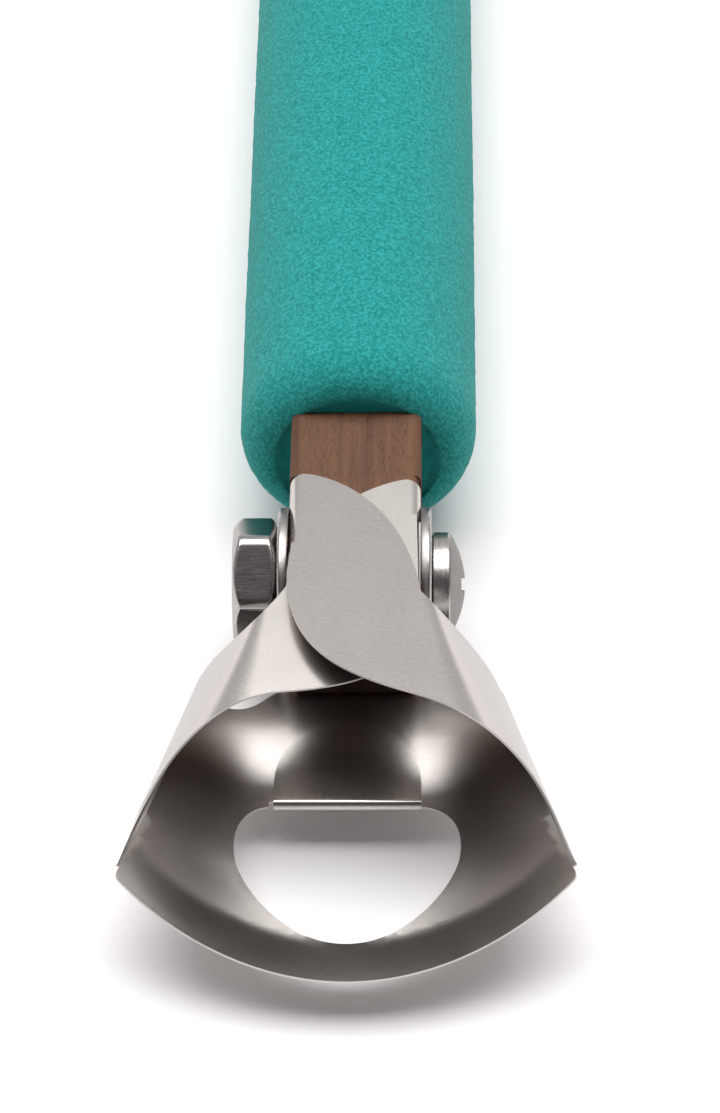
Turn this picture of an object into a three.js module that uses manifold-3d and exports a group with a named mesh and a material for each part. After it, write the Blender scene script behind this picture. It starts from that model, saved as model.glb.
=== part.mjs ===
// Double-ended clay carving tool: a square walnut bar in a foam tube grip, with a folded
// sheet-steel head on each end. Each head is one sheet: a troughed panel with a window, and
// two arms that fold up from its sides and cross over the bar. Each arm ends in a round ear,
// folded down against the bar's far side, where one machine screw, two washers and a nut
// clamp them.
// Millimetres. +Y runs along the bar, +Z is up, and the foam rests on Z = 0.
import * as THREE from "three";
import { mergeVertices } from "three/addons/utils/BufferGeometryUtils.js";
import Module from "manifold-3d";

const wasm = await Module();
wasm.setup();

// Bar
const barSide = 9.525;
const barLength = 152.4;
const barEdgeRadius = 0.6;
const barEndChamfer = 0.25;
const screwFromBarEnd = 6.35;
const seatDepth = 0.22; // the bar's sides are pared this deep where the ears are clamped
const seatReach = 6.3; // how far behind the screw that paring runs

// Foam grip
const foamDiameter = 17.8;
const barBared = 19.05; // length of bar left bare at each end of the foam
const foamEdgeLength = 3.4; // how far along the bar the rounded end edge reaches
const foamEdgeDepth = 2.6; // how far in from the outside it reaches
const foamDish = 0.8; // depth of the end face below the rim
const foamFlat = 0.3; // how far the foam is pressed flat where it rests
const foamClearance = 0.15;

// Screw, washers and nut, number 8 with 32 threads per inch
const screwDiameter = 4.12;
const screwHeadDiameter = 7.5;
const screwHeadHeight = 2.4;
const screwHeadEdge = 0.12;
const screwTipChamfer = 0.4;
const screwHoleClearance = 0.12;
const nutRunningClearance = 0.06;
const recessSpan = 4.6; // the cross recess at the face of the head
const recessFloorSpan = 1.3;
const recessWidth = 1.0;
const recessDepth = 1.3;
const washerDiameter = 11.1;
const washerBore = 4.8;
const washerThickness = 0.75;
const washerEdge = 0.12;
const nutAcrossFlats = 8.73;
const nutThickness = 3.175;
const nutTipRecess = 0.2; // the screw's tip stops this far inside the nut's face
const nutChamferSlope = 0.62; // chamfer length per millimetre cut off a corner
const nutCountersink = 0.45;

// Sheet and its seats
const sheetThickness = 0.15;
const seatGap = 0.03;

// Heads. In a head's own frame the screw is at the origin and the head points along -Y,
// so every "reach" is a distance ahead of the screw and every "half" a distance from the
// middle. Heights are above the middle of the bar.
const wideHead = {
  cornerHalf: 15.75, // where the fold meets the front edge
  cornerReach: 26.2,
  cornerHeight: -0.9,
  cornerBlunt: 0.8, // length of fold left bare ahead of the arm's rim
  frontReach: 32.4,
  foldBackHalf: 10.7,
  foldBackReach: 7.7,
  foldBackHeight: -3.25,
  windowHalf: 7.8,
  windowBackHalf: 5.2,
  windowBackReach: 16.6,
  windowWideReach: 22.2,
  frontBand: 3.1, // width of sheet left ahead of the window
  windowShift: -0.4, // the window and its flap were cut a little to one side
  flapHalf: 5.35,
  flapLength: 6.8,
  flapShift: -0.6,
  upperArm: {
    rimLean: 1.3, // how far the rim leans inward as it leaves the corner
    rimBulgeReach: 27.1, // the rim rises nearly upright before it sweeps back
    rimBulgeHeight: 2.5,
    rimSweepHalf: 13.1,
    rimSweepReach: 18.3,
    rimBarReach: 15.2, // where the rim comes over the bar's edge
    backLean: -0.75, // how far the back edge leans outward as it leaves the fold
    backBow: 2.7, // and forward
    backRise: 3.4,
    backSweepHalf: 10.7, // where it turns in towards the bar
    backSweepReach: 12.7,
    backSweepSag: 1.4,
    tipReach: 13.6, // pulls the tongue's front edge across the middle of the bar
    cheekReach: 11.9, // and then round to its far edge
  },
  lowerArm: {
    rimLean: 0.15,
    rimBulgeReach: 27.4,
    rimBulgeHeight: 3.0,
    rimSweepHalf: 12.2,
    rimSweepReach: 15.1,
    rimBarReach: 14.8,
    backLean: 0.9,
    backBow: 1.3,
    backRise: 4.4,
    backSweepHalf: 7.9,
    backSweepReach: 10.0,
    backSweepSag: 0.5,
    tipReach: 14.4,
    cheekReach: 13.4,
  },
};
const narrowHead = {
  cornerHalf: 9.6,
  cornerReach: 22.0,
  cornerHeight: -2.2,
  cornerBlunt: 0.8,
  frontReach: 27.4,
  foldBackHalf: 8.0,
  foldBackReach: 7.7,
  foldBackHeight: -3.9,
  windowHalf: 5.0,
  windowBackHalf: 3.4,
  windowBackReach: 15.2,
  windowWideReach: 19.6,
  frontBand: 2.8,
  windowShift: 0,
  flapHalf: 3.4,
  flapLength: 4.6,
  flapShift: 0,
  upperArm: {
    rimLean: 0.5,
    rimBulgeReach: 22.6,
    rimBulgeHeight: 2.0,
    rimSweepHalf: 8.6,
    rimSweepReach: 15.0,
    rimBarReach: 13.6,
    backLean: 0,
    backBow: 1.6,
    backRise: 4.6,
    backSweepHalf: 7.2,
    backSweepReach: 10.0,
    backSweepSag: 0.9,
    tipReach: 12.2,
    cheekReach: 10.7,
  },
  lowerArm: {
    rimLean: 0.3,
    rimBulgeReach: 22.8,
    rimBulgeHeight: 2.2,
    rimSweepHalf: 8.2,
    rimSweepReach: 13.6,
    rimBarReach: 13.4,
    backLean: 0.3,
    backBow: 1.2,
    backRise: 4.6,
    backSweepHalf: 6.6,
    backSweepReach: 9.4,
    backSweepSag: 0.5,
    tipReach: 12.9,
    cheekReach: 11.9,
  },
};

// Tongues, the flat parts of the arms that cross over the bar, and their ears. Both heads
// have the same. A "back" is a distance behind the screw.
const upperTongue = {
  armBackReach: 5.5, // where the arm's back edge leaves the bar
  edgeFrontReach: 3.6, // the far edge runs straight from here
  edgeHalf: 4.95,
  neckFront: 0.75, // to here, where the ear's fold begins
  neckHalf: 4.43,
  neckBack: 6.1,
  crownBack: 6.45, // pull the back edge from the ear's fold back to the arm
  heelBack: 5.6,
  heelHalf: 3.1,
};
const lowerTongue = {
  armBackReach: 4.9,
  edgeFrontReach: 7.0,
  edgeHalf: 4.6,
  neckFront: -2.2,
  neckHalf: 4.45,
  neckBack: 5.7,
  crownBack: 6.1,
  heelBack: 4.3,
  heelHalf: 3.6,
};
const tipHalf = 0.6; // where the pull of the tongue's front edge lies, from the middle
const earRadius = 4.4;
const earShoulder = 30; // degrees above level where the ear's round meets its neck
const earHoleClearance = 0.24;
const neckCornerRun = 0.5; // the fold's back corner is taken off over this length
const joinOverlap = 0.3; // how far one stretch of the sheet runs on into the next
const tailInset = 0.46; // how far the tail under the bar stops short of the bar's sides
const tailBackReach = 4.6; // how far behind the screw the tail runs under the bar
const hemRadius = 0.42;
const hemOverlap = 0.05; // how far the flat parts run into the hem's bend

// The notch that parts each arm from the tail, measured from the back end of the fold
const notchAhead = 0.9;
const notchTurnBack = 1.1;
const notchEndBack = 4;

// Curve shapes
const windowShoulder = 0.4; // how far the window's back corners dip forward
const windowFlare = 0.35; // how far its sides bow past their widest point
const windowTaper = 0.6; // how far they have drawn in where the front begins
const windowNose = 0.52; // share of the half width over which the front runs level
const flapStraight = 0.2; // share of the flap's length over which its sides run straight
const circleBow = 0.5523; // handle length of a quarter circle, as a share of its radius
const rimSag = 0.2; // how far the rim has dropped before it comes over the bar
const rulingEase = 0.5; // how far the sheet's straight lines crowd towards an arm's two ends

// Smoothness
const gridCell = 1.3;
const leastDetail = 0.005; // slivers smaller than this are closed up
const trimMargin = 1.5; // how far a sheet's grid runs past the outline that trims it
const flankSteps = 14;
const bendSteps = 4;
const hemSteps = 7;
const rulingSteps = 5;
const roundSides = 40;

// Worked out from the sizes above
const halfBar = barSide / 2;
const barAxisHeight = foamDiameter / 2 - foamFlat;
const sheetSeat = halfBar + seatGap; // the near face of the sheet above and below the bar
const sheetMid = sheetSeat + sheetThickness / 2;
const upperMid = sheetMid + sheetThickness + seatGap; // the tongue that lies on the other
const seatHalf = halfBar - seatDepth;
const earSeat = seatHalf + seatGap; // the near face of an ear beside the bar
const earMid = earSeat + sheetThickness / 2;
const washerInner = earSeat + sheetThickness + seatGap;
const washerOuter = washerInner + washerThickness;
const nutInner = washerOuter + seatGap;
const nutOuter = nutInner + nutThickness;
const headInner = washerOuter + seatGap;
const bendHalf = seatHalf - barEdgeRadius; // the fold of an ear turns about this line
const bendHeight = halfBar - barEdgeRadius;
const tailHalf = halfBar - tailInset;
const foamLength = barLength - 2 * barBared;
const headOverhang = (head) => head.frontReach - screwFromBarEnd;
const objectLength = barLength + headOverhang(wideHead) + headOverhang(narrowHead);
const barFront = -objectLength / 2 + headOverhang(wideHead);
const barBack = barFront + barLength;

const materials = {
  walnut: { color: 0x7a5238, roughness: 0.6, metalness: 0 },
  foam: { color: 0x1fa596, roughness: 0.95, metalness: 0 },
  sheet: { color: 0xb9b2ac, roughness: 0.32, metalness: 1 },
  hardware: { color: 0x9d9a96, roughness: 0.28, metalness: 1 },
};

// Geometry helpers

const closed = (geometry) => {
  const g = geometry.clone();
  g.deleteAttribute("normal");
  g.deleteAttribute("uv");
  return mergeVertices(g, 1e-4);
};

const toSolid = (geometry) => {
  const g = closed(geometry);
  const mesh = new wasm.Mesh({
    numProp: 3,
    vertProperties: g.getAttribute("position").array,
    triVerts: new Uint32Array(g.index.array),
  });
  return new wasm.Manifold(mesh);
};

const toGeometry = (solid) => {
  const { vertProperties, triVerts } = solid.getMesh();
  const g = new THREE.BufferGeometry();
  g.setAttribute("position", new THREE.BufferAttribute(vertProperties, 3));
  g.setIndex(new THREE.BufferAttribute(triVerts, 1));
  const flat = g.toNonIndexed();
  flat.computeVertexNormals();
  return flat;
};

const mirrored = (geometry) => {
  const g = closed(geometry).toNonIndexed();
  g.applyMatrix4(new THREE.Matrix4().makeScale(-1, 1, 1));
  const p = g.getAttribute("position");
  for (let i = 0; i < p.count; i += 3) {
    const a = new THREE.Vector3().fromBufferAttribute(p, i + 1);
    const b = new THREE.Vector3().fromBufferAttribute(p, i + 2);
    p.setXYZ(i + 1, b.x, b.y, b.z);
    p.setXYZ(i + 2, a.x, a.y, a.z);
  }
  return g;
};

const vec = (x, y, z) => new THREE.Vector3(x, y, z);
const smooth = (t) => t * t * (3 - 2 * t);
const ramp = (x, from, to) => smooth(THREE.MathUtils.clamp((x - from) / (to - from), 0, 1));

// A closed sheet of even thickness about a grid of points on its middle surface.
function sheetSolid(rows, thickness) {
  const n = rows.length;
  const m = rows[0].length;
  const sides = [[], []];
  for (let i = 0; i < n; i++) {
    for (let j = 0; j < m; j++) {
      const along = rows[Math.min(i + 1, n - 1)][j].clone().sub(rows[Math.max(i - 1, 0)][j]);
      const across = rows[i][Math.min(j + 1, m - 1)].clone().sub(rows[i][Math.max(j - 1, 0)]);
      const normal = along.cross(across).normalize().multiplyScalar(thickness / 2);
      sides[0].push(rows[i][j].clone().add(normal));
      sides[1].push(rows[i][j].clone().sub(normal));
    }
  }
  const points = [...sides[0], ...sides[1]];
  const index = [];
  const quad = (a, b, c, d) => index.push(a, b, c, a, c, d);
  const top = (i, j) => i * m + j;
  const low = (i, j) => n * m + i * m + j;
  for (let i = 0; i < n - 1; i++) {
    for (let j = 0; j < m - 1; j++) {
      quad(top(i, j), top(i + 1, j), top(i + 1, j + 1), top(i, j + 1));
      quad(low(i, j), low(i, j + 1), low(i + 1, j + 1), low(i + 1, j));
    }
    quad(top(i, 0), low(i, 0), low(i + 1, 0), top(i + 1, 0));
    quad(top(i, m - 1), top(i + 1, m - 1), low(i + 1, m - 1), low(i, m - 1));
  }
  for (let j = 0; j < m - 1; j++) {
    quad(top(0, j), top(0, j + 1), low(0, j + 1), low(0, j));
    quad(top(n - 1, j), low(n - 1, j), low(n - 1, j + 1), top(n - 1, j + 1));
  }
  const g = new THREE.BufferGeometry().setFromPoints(points);
  g.setIndex(index);
  return g;
}

// An outline in plan, given as a Shape, as an upright prism from low to high.
function prism(shape, low, high) {
  const g = new THREE.ExtrudeGeometry(shape, {
    depth: high - low,
    bevelEnabled: false,
    curveSegments: 12,
  });
  g.translate(0, 0, low);
  return toSolid(g);
}

// A cylinder along X between two places.
function roundAlongX(radius, from, to, sides = roundSides) {
  const g = new THREE.CylinderGeometry(radius, radius, to - from, sides);
  g.rotateZ(-Math.PI / 2);
  g.translate((from + to) / 2, 0, 0);
  return g;
}

// Bar and grip

function roundedOblong(width, height, radius) {
  const w = width / 2 - radius;
  const h = height / 2 - radius;
  const shape = new THREE.Shape();
  shape.moveTo(-w, -h - radius);
  shape.absarc(w, -h, radius, -Math.PI / 2, 0);
  shape.absarc(w, h, radius, 0, Math.PI / 2);
  shape.absarc(-w, h, radius, Math.PI / 2, Math.PI);
  shape.absarc(-w, -h, radius, Math.PI, 1.5 * Math.PI);
  return shape;
}

function barGeometry() {
  const blankSide = barSide - 2 * barEndChamfer;
  const blank = new THREE.ExtrudeGeometry(roundedOblong(blankSide, blankSide, barEdgeRadius), {
    depth: barLength - 2 * barEndChamfer,
    bevelThickness: barEndChamfer,
    bevelSize: barEndChamfer,
    bevelSegments: 1,
    curveSegments: 4,
  });
  blank.translate(0, 0, barEndChamfer);
  blank.rotateX(-Math.PI / 2);
  blank.translate(0, barFront, 0);
  let bar = toSolid(blank);
  const seatLength = 2 * (screwFromBarEnd + seatReach); // half of it lies past the bar's end
  const pared = new THREE.ExtrudeGeometry(roundedOblong(2 * seatHalf, barSide, barEdgeRadius), {
    depth: seatLength,
    bevelEnabled: false,
    curveSegments: 4,
  });
  pared.rotateX(-Math.PI / 2);
  pared.translate(0, -seatLength / 2, 0);
  const around = new THREE.BoxGeometry(2 * barSide, seatLength, 2 * barSide);
  const paring = toSolid(around).subtract(toSolid(pared));
  const hole = toSolid(roundAlongX(screwDiameter / 2 + screwHoleClearance, -barSide, barSide, 24));
  for (const [end, inward] of [
    [barFront, 1],
    [barBack, -1],
  ]) {
    bar = bar.subtract(paring.translate(0, end, 0));
    bar = bar.subtract(hole.translate(0, end + inward * screwFromBarEnd, 0));
  }
  return toGeometry(bar);
}

function gripGeometry() {
  const radius = foamDiameter / 2;
  const half = foamLength / 2;
  const shoulder = radius - foamEdgeDepth;
  const profile = [new THREE.Vector2(0, half - foamDish)];
  const steps = 6;
  for (let i = 0; i <= steps; i++) {
    const a = (i / steps) * (Math.PI / 2);
    profile.push(
      new THREE.Vector2(
        shoulder + foamEdgeDepth * Math.sin(a),
        half - foamEdgeLength + foamEdgeLength * Math.cos(a),
      ),
    );
  }
  const nearEnd = profile.map((p) => new THREE.Vector2(p.x, -p.y));
  const tube = toSolid(new THREE.LatheGeometry([...nearEnd, ...profile.reverse()], 56));
  const bore = new THREE.ExtrudeGeometry(
    roundedOblong(barSide + 2 * foamClearance, barSide + 2 * foamClearance, barEdgeRadius),
    { depth: foamLength + 2, bevelEnabled: false, curveSegments: 3 },
  );
  bore.rotateX(-Math.PI / 2);
  bore.translate(0, -half - 1, 0);
  const floor = new THREE.BoxGeometry(foamDiameter, foamLength + 2, foamDiameter);
  floor.translate(0, 0, -barAxisHeight - foamDiameter / 2);
  return toGeometry(tube.subtract(toSolid(bore)).subtract(toSolid(floor)));
}

// Fasteners, with their axis on X

function screwGeometry() {
  const head = screwHeadDiameter / 2;
  const shank = screwDiameter / 2;
  const tip = -(nutOuter - nutTipRecess);
  const crown = screwHeadHeight / 2;
  const profile = [
    [0, tip],
    [shank - screwTipChamfer, tip],
    [shank, tip + screwTipChamfer],
    [shank, headInner],
    [head - screwHeadEdge, headInner],
    [head, headInner + screwHeadEdge],
  ];
  const steps = 7;
  for (let i = 0; i <= steps; i++) {
    const a = (i / steps) * (Math.PI / 2);
    const out = headInner + screwHeadHeight - crown + crown * Math.sin(a);
    profile.push([i === steps ? 0 : head * Math.cos(a) ** 0.6, out]);
  }
  const turned = new THREE.LatheGeometry(
    profile.map(([r, x]) => new THREE.Vector2(r, x)),
    roundSides,
  );
  turned.rotateZ(-Math.PI / 2);
  let screw = toSolid(turned);
  const top = headInner + screwHeadHeight;
  for (const turn of [Math.PI / 4, -Math.PI / 4]) {
    const wing = new THREE.CylinderGeometry(
      recessSpan * Math.SQRT1_2,
      recessFloorSpan * Math.SQRT1_2,
      recessDepth,
      4,
    );
    wing.rotateY(Math.PI / 4);
    wing.scale(1, 1, recessWidth / recessSpan);
    wing.rotateZ(-Math.PI / 2);
    wing.translate(top - recessDepth / 2 + 0.02, 0, 0);
    wing.rotateX(turn);
    screw = screw.subtract(toSolid(wing));
  }
  return toGeometry(screw);
}

function washerGeometry(side) {
  const inner = washerBore / 2;
  const outer = washerDiameter / 2;
  const profile = [
    [inner, washerInner],
    [outer - washerEdge, washerInner],
    [outer, washerInner + washerEdge],
    [outer, washerOuter - washerEdge],
    [outer - washerEdge, washerOuter],
    [inner, washerOuter],
    [inner, washerInner],
  ];
  const ring = new THREE.LatheGeometry(
    profile.map(([r, x]) => new THREE.Vector2(r, x)),
    roundSides,
  );
  ring.rotateZ(-Math.PI / 2);
  return side > 0 ? toGeometry(toSolid(ring)) : toGeometry(toSolid(mirrored(ring)));
}

function nutGeometry() {
  const corner = nutAcrossFlats / Math.sqrt(3);
  const flat = nutAcrossFlats / 2;
  const chamfer = (corner - flat) * nutChamferSlope;
  const block = roundAlongX(corner, -nutOuter, -nutInner, 6); // a corner points up
  const turnedProfile = [
    [0, -nutOuter],
    [flat, -nutOuter],
    [corner, -nutOuter + chamfer],
    [corner, -nutInner - chamfer],
    [flat, -nutInner],
    [0, -nutInner],
  ];
  const turned = new THREE.LatheGeometry(
    turnedProfile.map(([r, x]) => new THREE.Vector2(r, x)),
    roundSides,
  );
  turned.rotateZ(-Math.PI / 2);
  const boreRadius = screwDiameter / 2 + nutRunningClearance;
  const bore = roundAlongX(boreRadius, -nutOuter - 1, -nutInner + 1);
  const mouthRadius = boreRadius + 2 * nutCountersink;
  const countersink = new THREE.CylinderGeometry(boreRadius, mouthRadius, 2 * nutCountersink, roundSides);
  countersink.rotateZ(-Math.PI / 2);
  countersink.translate(-nutOuter, 0, 0);
  return toGeometry(
    toSolid(block).intersect(toSolid(turned)).subtract(toSolid(bore)).subtract(toSolid(countersink)),
  );
}

// Blade heads

// Where the fold on the right-hand side runs, at a reach ahead of the screw.
function foldAt(head, reach) {
  const t = (reach - head.foldBackReach) / (head.cornerReach - head.foldBackReach);
  return vec(
    THREE.MathUtils.lerp(head.foldBackHalf, head.cornerHalf, t),
    -reach,
    THREE.MathUtils.lerp(head.foldBackHeight, head.cornerHeight, t),
  );
}

// The trough of the panel: flat under the bar, and a parabola between the folds ahead of it.
function panelHeight(head, x, y) {
  const fold = foldAt(head, Math.max(-y, head.foldBackReach));
  const flatHalf = sheetSeat * (1 - ramp(-y, head.foldBackReach, head.windowBackReach));
  const out = Math.max(0, Math.abs(x) - flatHalf) / (fold.x - flatHalf);
  const lift = fold.z + sheetMid;
  return -sheetMid + lift * out * out;
}

function surfaceGrid(head, middle, halfWidth, yFrom, yTo, raise) {
  const nx = Math.max(2, 2 * Math.round(halfWidth / gridCell));
  const ny = Math.max(2, Math.round((yTo - yFrom) / gridCell));
  const rows = [];
  for (let i = 0; i <= nx; i++) {
    const x = middle - halfWidth + (2 * halfWidth * i) / nx;
    const row = [];
    for (let j = 0; j <= ny; j++) {
      const y = yFrom + ((yTo - yFrom) * j) / ny;
      row.push(vec(x, y, panelHeight(head, x, y) + raise));
    }
    rows.push(row);
  }
  return rows;
}

function panelOutline(head) {
  const corner = foldAt(head, head.cornerReach);
  const back = foldAt(head, head.foldBackReach);
  const rise = head.frontReach - head.cornerReach;
  const arcRadius = (corner.x ** 2 + rise ** 2) / (2 * rise);
  const arcCentre = -head.frontReach + arcRadius;
  const sweep = Math.asin(corner.x / arcRadius);
  const notch = back.x - tailHalf;
  const rightSide = [
    [back.x, back.y],
    [back.x - notch / 4, back.y - notchAhead],
    [back.x - notch / 2, back.y - notchAhead],
    [tailHalf + notch / 4, back.y + notchTurnBack],
    [tailHalf, back.y + 2 * notchTurnBack],
    [tailHalf, back.y + 3 * notchTurnBack],
    [tailHalf, back.y + notchEndBack],
    [tailHalf, tailBackReach - tailHalf],
    [tailHalf, tailBackReach],
    [0, tailBackReach],
  ];
  const leftSide = rightSide.slice(0, -1).reverse();
  const [, ...edge] = [...rightSide, ...leftSide.map(([x, y]) => [-x, y])];
  const shape = new THREE.Shape();
  shape.absarc(0, arcCentre, arcRadius, -Math.PI / 2 - sweep, -Math.PI / 2 + sweep);
  shape.lineTo(back.x, back.y);
  for (let i = 0; i < edge.length; i += 3) {
    shape.bezierCurveTo(...edge.slice(i, i + 3).flat());
  }
  return shape;
}

function windowOutline(head) {
  const back = -head.windowBackReach + hemRadius - hemOverlap;
  const wide = -head.windowWideReach;
  const front = -(head.frontReach - head.frontBand);
  const spread = head.windowHalf - head.windowBackHalf;
  const halfOutline = [
    [head.windowBackHalf, back],
    [head.windowBackHalf + spread, back - windowShoulder],
    [head.windowHalf + windowFlare, THREE.MathUtils.lerp(wide, back, 0.4)],
    [head.windowHalf, wide],
    [head.windowHalf - windowTaper, THREE.MathUtils.lerp(wide, front, 0.4)],
    [head.windowHalf * windowNose, front],
    [0, front],
  ];
  const across = halfOutline.slice(0, -1).reverse();
  const [first, ...rest] = [...halfOutline, ...across.map(([x, y]) => [-x, y])];
  const shape = new THREE.Shape();
  shape.moveTo(first[0] + head.windowShift, first[1]);
  for (let i = 0; i < rest.length; i += 3) {
    const curve = rest.slice(i, i + 3).flatMap(([x, y]) => [x + head.windowShift, y]);
    shape.bezierCurveTo(...curve);
  }
  return shape;
}

function flapOutline(head) {
  const start = -head.windowBackReach + hemRadius;
  const end = start + head.flapLength;
  const straight = start + head.flapLength * flapStraight;
  const side = THREE.MathUtils.lerp(straight, end, circleBow);
  const middle = head.flapShift;
  const left = middle - head.flapHalf;
  const right = middle + head.flapHalf;
  const shape = new THREE.Shape();
  shape.moveTo(left, start - hemOverlap);
  shape.lineTo(right, start - hemOverlap);
  shape.lineTo(right, straight);
  shape.bezierCurveTo(right, side, middle + head.flapHalf * circleBow, end, middle, end);
  shape.bezierCurveTo(middle - head.flapHalf * circleBow, end, left, side, left, straight);
  return shape;
}

// The turned-back edge of the flap: half a turn from the panel up to the flap.
function hemRows(head) {
  const rows = [];
  const y = -head.windowBackReach + hemRadius;
  const across = Math.max(4, Math.round((2 * head.flapHalf) / gridCell));
  for (let i = 0; i <= hemSteps; i++) {
    const a = (i / hemSteps) * Math.PI;
    const row = [];
    for (let j = 0; j <= across; j++) {
      const x = head.flapShift - head.flapHalf + (2 * head.flapHalf * j) / across;
      const z = panelHeight(head, x, y) + hemRadius * (1 - Math.cos(a));
      row.push(vec(x, y - hemRadius * Math.sin(a), z));
    }
    rows.push(row);
  }
  return rows;
}

// The flank of the right-hand arm, from the fold up to the bar's edge, as rows of points from
// its front rim to its back edge. The left-hand one is its mirror.
function flankRows(head, arm, tongue, topMid) {
  const rimStart = foldAt(head, head.cornerReach - head.cornerBlunt);
  const rim = new THREE.CubicBezierCurve3(
    rimStart,
    vec(rimStart.x - arm.rimLean, -arm.rimBulgeReach, arm.rimBulgeHeight),
    vec(arm.rimSweepHalf, -arm.rimSweepReach, topMid - rimSag),
    vec(halfBar, -arm.rimBarReach, topMid),
  );
  const backStart = foldAt(head, head.foldBackReach);
  const back = new THREE.CubicBezierCurve3(
    backStart,
    vec(backStart.x + arm.backLean, backStart.y - arm.backBow, backStart.z + arm.backRise),
    vec(arm.backSweepHalf, -arm.backSweepReach, topMid - arm.backSweepSag),
    vec(halfBar, -tongue.armBackReach, topMid),
  );
  const rows = [];
  for (let i = 0; i <= flankSteps; i++) {
    const t = i / flankSteps;
    const from = rim.getPoint(t);
    const to = back.getPoint(THREE.MathUtils.lerp(t, smooth(t), rulingEase));
    const row = [];
    for (let j = 0; j <= rulingSteps; j++) row.push(from.clone().lerp(to, j / rulingSteps));
    rows.push(row);
  }
  rows.push(rows[flankSteps].map((p) => vec(p.x - joinOverlap, p.y, p.z)));
  return rows;
}

// The tongue in plan: its front edge, its far edge, the neck of the ear, and its back edge.
function tongueOutline(arm, tongue) {
  const { edgeHalf, neckFront, neckBack } = tongue;
  const shape = new THREE.Shape();
  shape.moveTo(halfBar, -arm.rimBarReach);
  shape.bezierCurveTo(
    tipHalf,
    -arm.tipReach,
    -edgeHalf,
    -arm.cheekReach,
    -edgeHalf,
    -tongue.edgeFrontReach,
  );
  shape.lineTo(-tongue.neckHalf, -neckFront);
  shape.lineTo(-bendHalf, -neckFront);
  shape.lineTo(-bendHalf, neckBack);
  shape.bezierCurveTo(
    -bendHalf,
    tongue.crownBack,
    tongue.heelHalf,
    tongue.heelBack,
    halfBar,
    -tongue.armBackReach,
  );
  return shape;
}

// The quarter turn between the tongue and its ear.
function neckRows(tongue, topMid) {
  const drop = topMid - bendHeight;
  const reach = earMid - bendHalf;
  const rows = [];
  const addRow = (x, z, back) => {
    const row = [];
    for (let j = 0; j <= rulingSteps; j++) {
      row.push(vec(x, THREE.MathUtils.lerp(-tongue.neckFront, back, j / rulingSteps), z));
    }
    rows.push(row);
  };
  addRow(-bendHalf + joinOverlap, topMid, tongue.neckBack);
  for (let i = 0; i <= bendSteps; i++) {
    const a = ((i / bendSteps) * Math.PI) / 2;
    const back = tongue.neckBack - (neckCornerRun * i) / bendSteps;
    addRow(-bendHalf - reach * Math.sin(a), bendHeight + drop * Math.cos(a), back);
  }
  return rows;
}

// The ear: a round plate about the screw, with a neck that reaches up to the fold.
function earSolid(tongue) {
  const shoulder = THREE.MathUtils.degToRad(earShoulder);
  const shape = new THREE.Shape();
  shape.moveTo(-tongue.neckFront, bendHeight);
  shape.lineTo(tongue.neckBack - neckCornerRun, bendHeight);
  shape.absarc(0, 0, earRadius, 0, Math.PI - shoulder, true);
  const hole = new THREE.Path();
  hole.absarc(0, 0, screwDiameter / 2 + earHoleClearance, 0, 2 * Math.PI);
  shape.holes.push(hole);
  const g = new THREE.ExtrudeGeometry(shape, {
    depth: sheetThickness,
    bevelEnabled: false,
    curveSegments: 24,
  });
  g.rotateY(Math.PI / 2);
  g.rotateX(Math.PI / 2);
  g.translate(-earSeat - sheetThickness, 0, 0);
  return toSolid(g);
}

// One whole arm, which starts on the right and ends in an ear on the left.
function armSolid(head, arm, tongue, topMid) {
  const flank = toSolid(sheetSolid(flankRows(head, arm, tongue, topMid), sheetThickness));
  const low = topMid - sheetThickness / 2;
  return flank
    .add(prism(tongueOutline(arm, tongue), low, low + sheetThickness))
    .add(toSolid(sheetSolid(neckRows(tongue, topMid), sheetThickness)))
    .add(earSolid(tongue));
}

function headGeometry(head) {
  const panel = toSolid(
    sheetSolid(
      surfaceGrid(
        head,
        0,
        head.cornerHalf + trimMargin,
        -head.frontReach - trimMargin,
        tailBackReach + trimMargin,
        0,
      ),
      sheetThickness,
    ),
  )
    .intersect(prism(panelOutline(head), -2 * halfBar, 2 * halfBar))
    .subtract(prism(windowOutline(head), -2 * halfBar, 2 * halfBar));
  const flapStart = -head.windowBackReach + hemRadius;
  const flap = toSolid(
    sheetSolid(
      surfaceGrid(
        head,
        head.flapShift,
        head.flapHalf + trimMargin,
        flapStart - trimMargin,
        flapStart + head.flapLength + trimMargin,
        2 * hemRadius,
      ),
      sheetThickness,
    ),
  ).intersect(prism(flapOutline(head), -2 * halfBar, 2 * halfBar));
  const hem = toSolid(sheetSolid(hemRows(head), sheetThickness));
  const upper = armSolid(head, head.upperArm, upperTongue, upperMid);
  const lower = armSolid(head, head.lowerArm, lowerTongue, sheetMid).mirror([1, 0, 0]);
  const from = foldAt(head, head.cornerReach - head.cornerBlunt / 2);
  const to = foldAt(head, head.foldBackReach);
  const fold = new THREE.CylinderGeometry(
    sheetThickness / 2,
    sheetThickness / 2,
    from.distanceTo(to),
    10,
  );
  fold.applyQuaternion(
    new THREE.Quaternion().setFromUnitVectors(vec(0, 1, 0), to.clone().sub(from).normalize()),
  );
  fold.translate((from.x + to.x) / 2, (from.y + to.y) / 2, (from.z + to.z) / 2);
  return toGeometry(
    panel
      .add(hem)
      .add(flap)
      .add(upper)
      .add(lower)
      .add(toSolid(fold))
      .add(toSolid(mirrored(fold)))
      .simplify(leastDetail),
  );
}

// Assembly

const tool = new THREE.Group();

function place(name, geometry, look, parent) {
  const mesh = new THREE.Mesh(geometry, new THREE.MeshStandardMaterial(materials[look]));
  mesh.name = name;
  parent.add(mesh);
}

const handle = new THREE.Group();
handle.position.z = barAxisHeight;
tool.add(handle);
place("core_bar", barGeometry(), "walnut", handle);
const grip = new THREE.Group();
grip.position.y = (barFront + barBack) / 2;
handle.add(grip);
place("foam_grip", gripGeometry(), "foam", grip);

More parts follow.
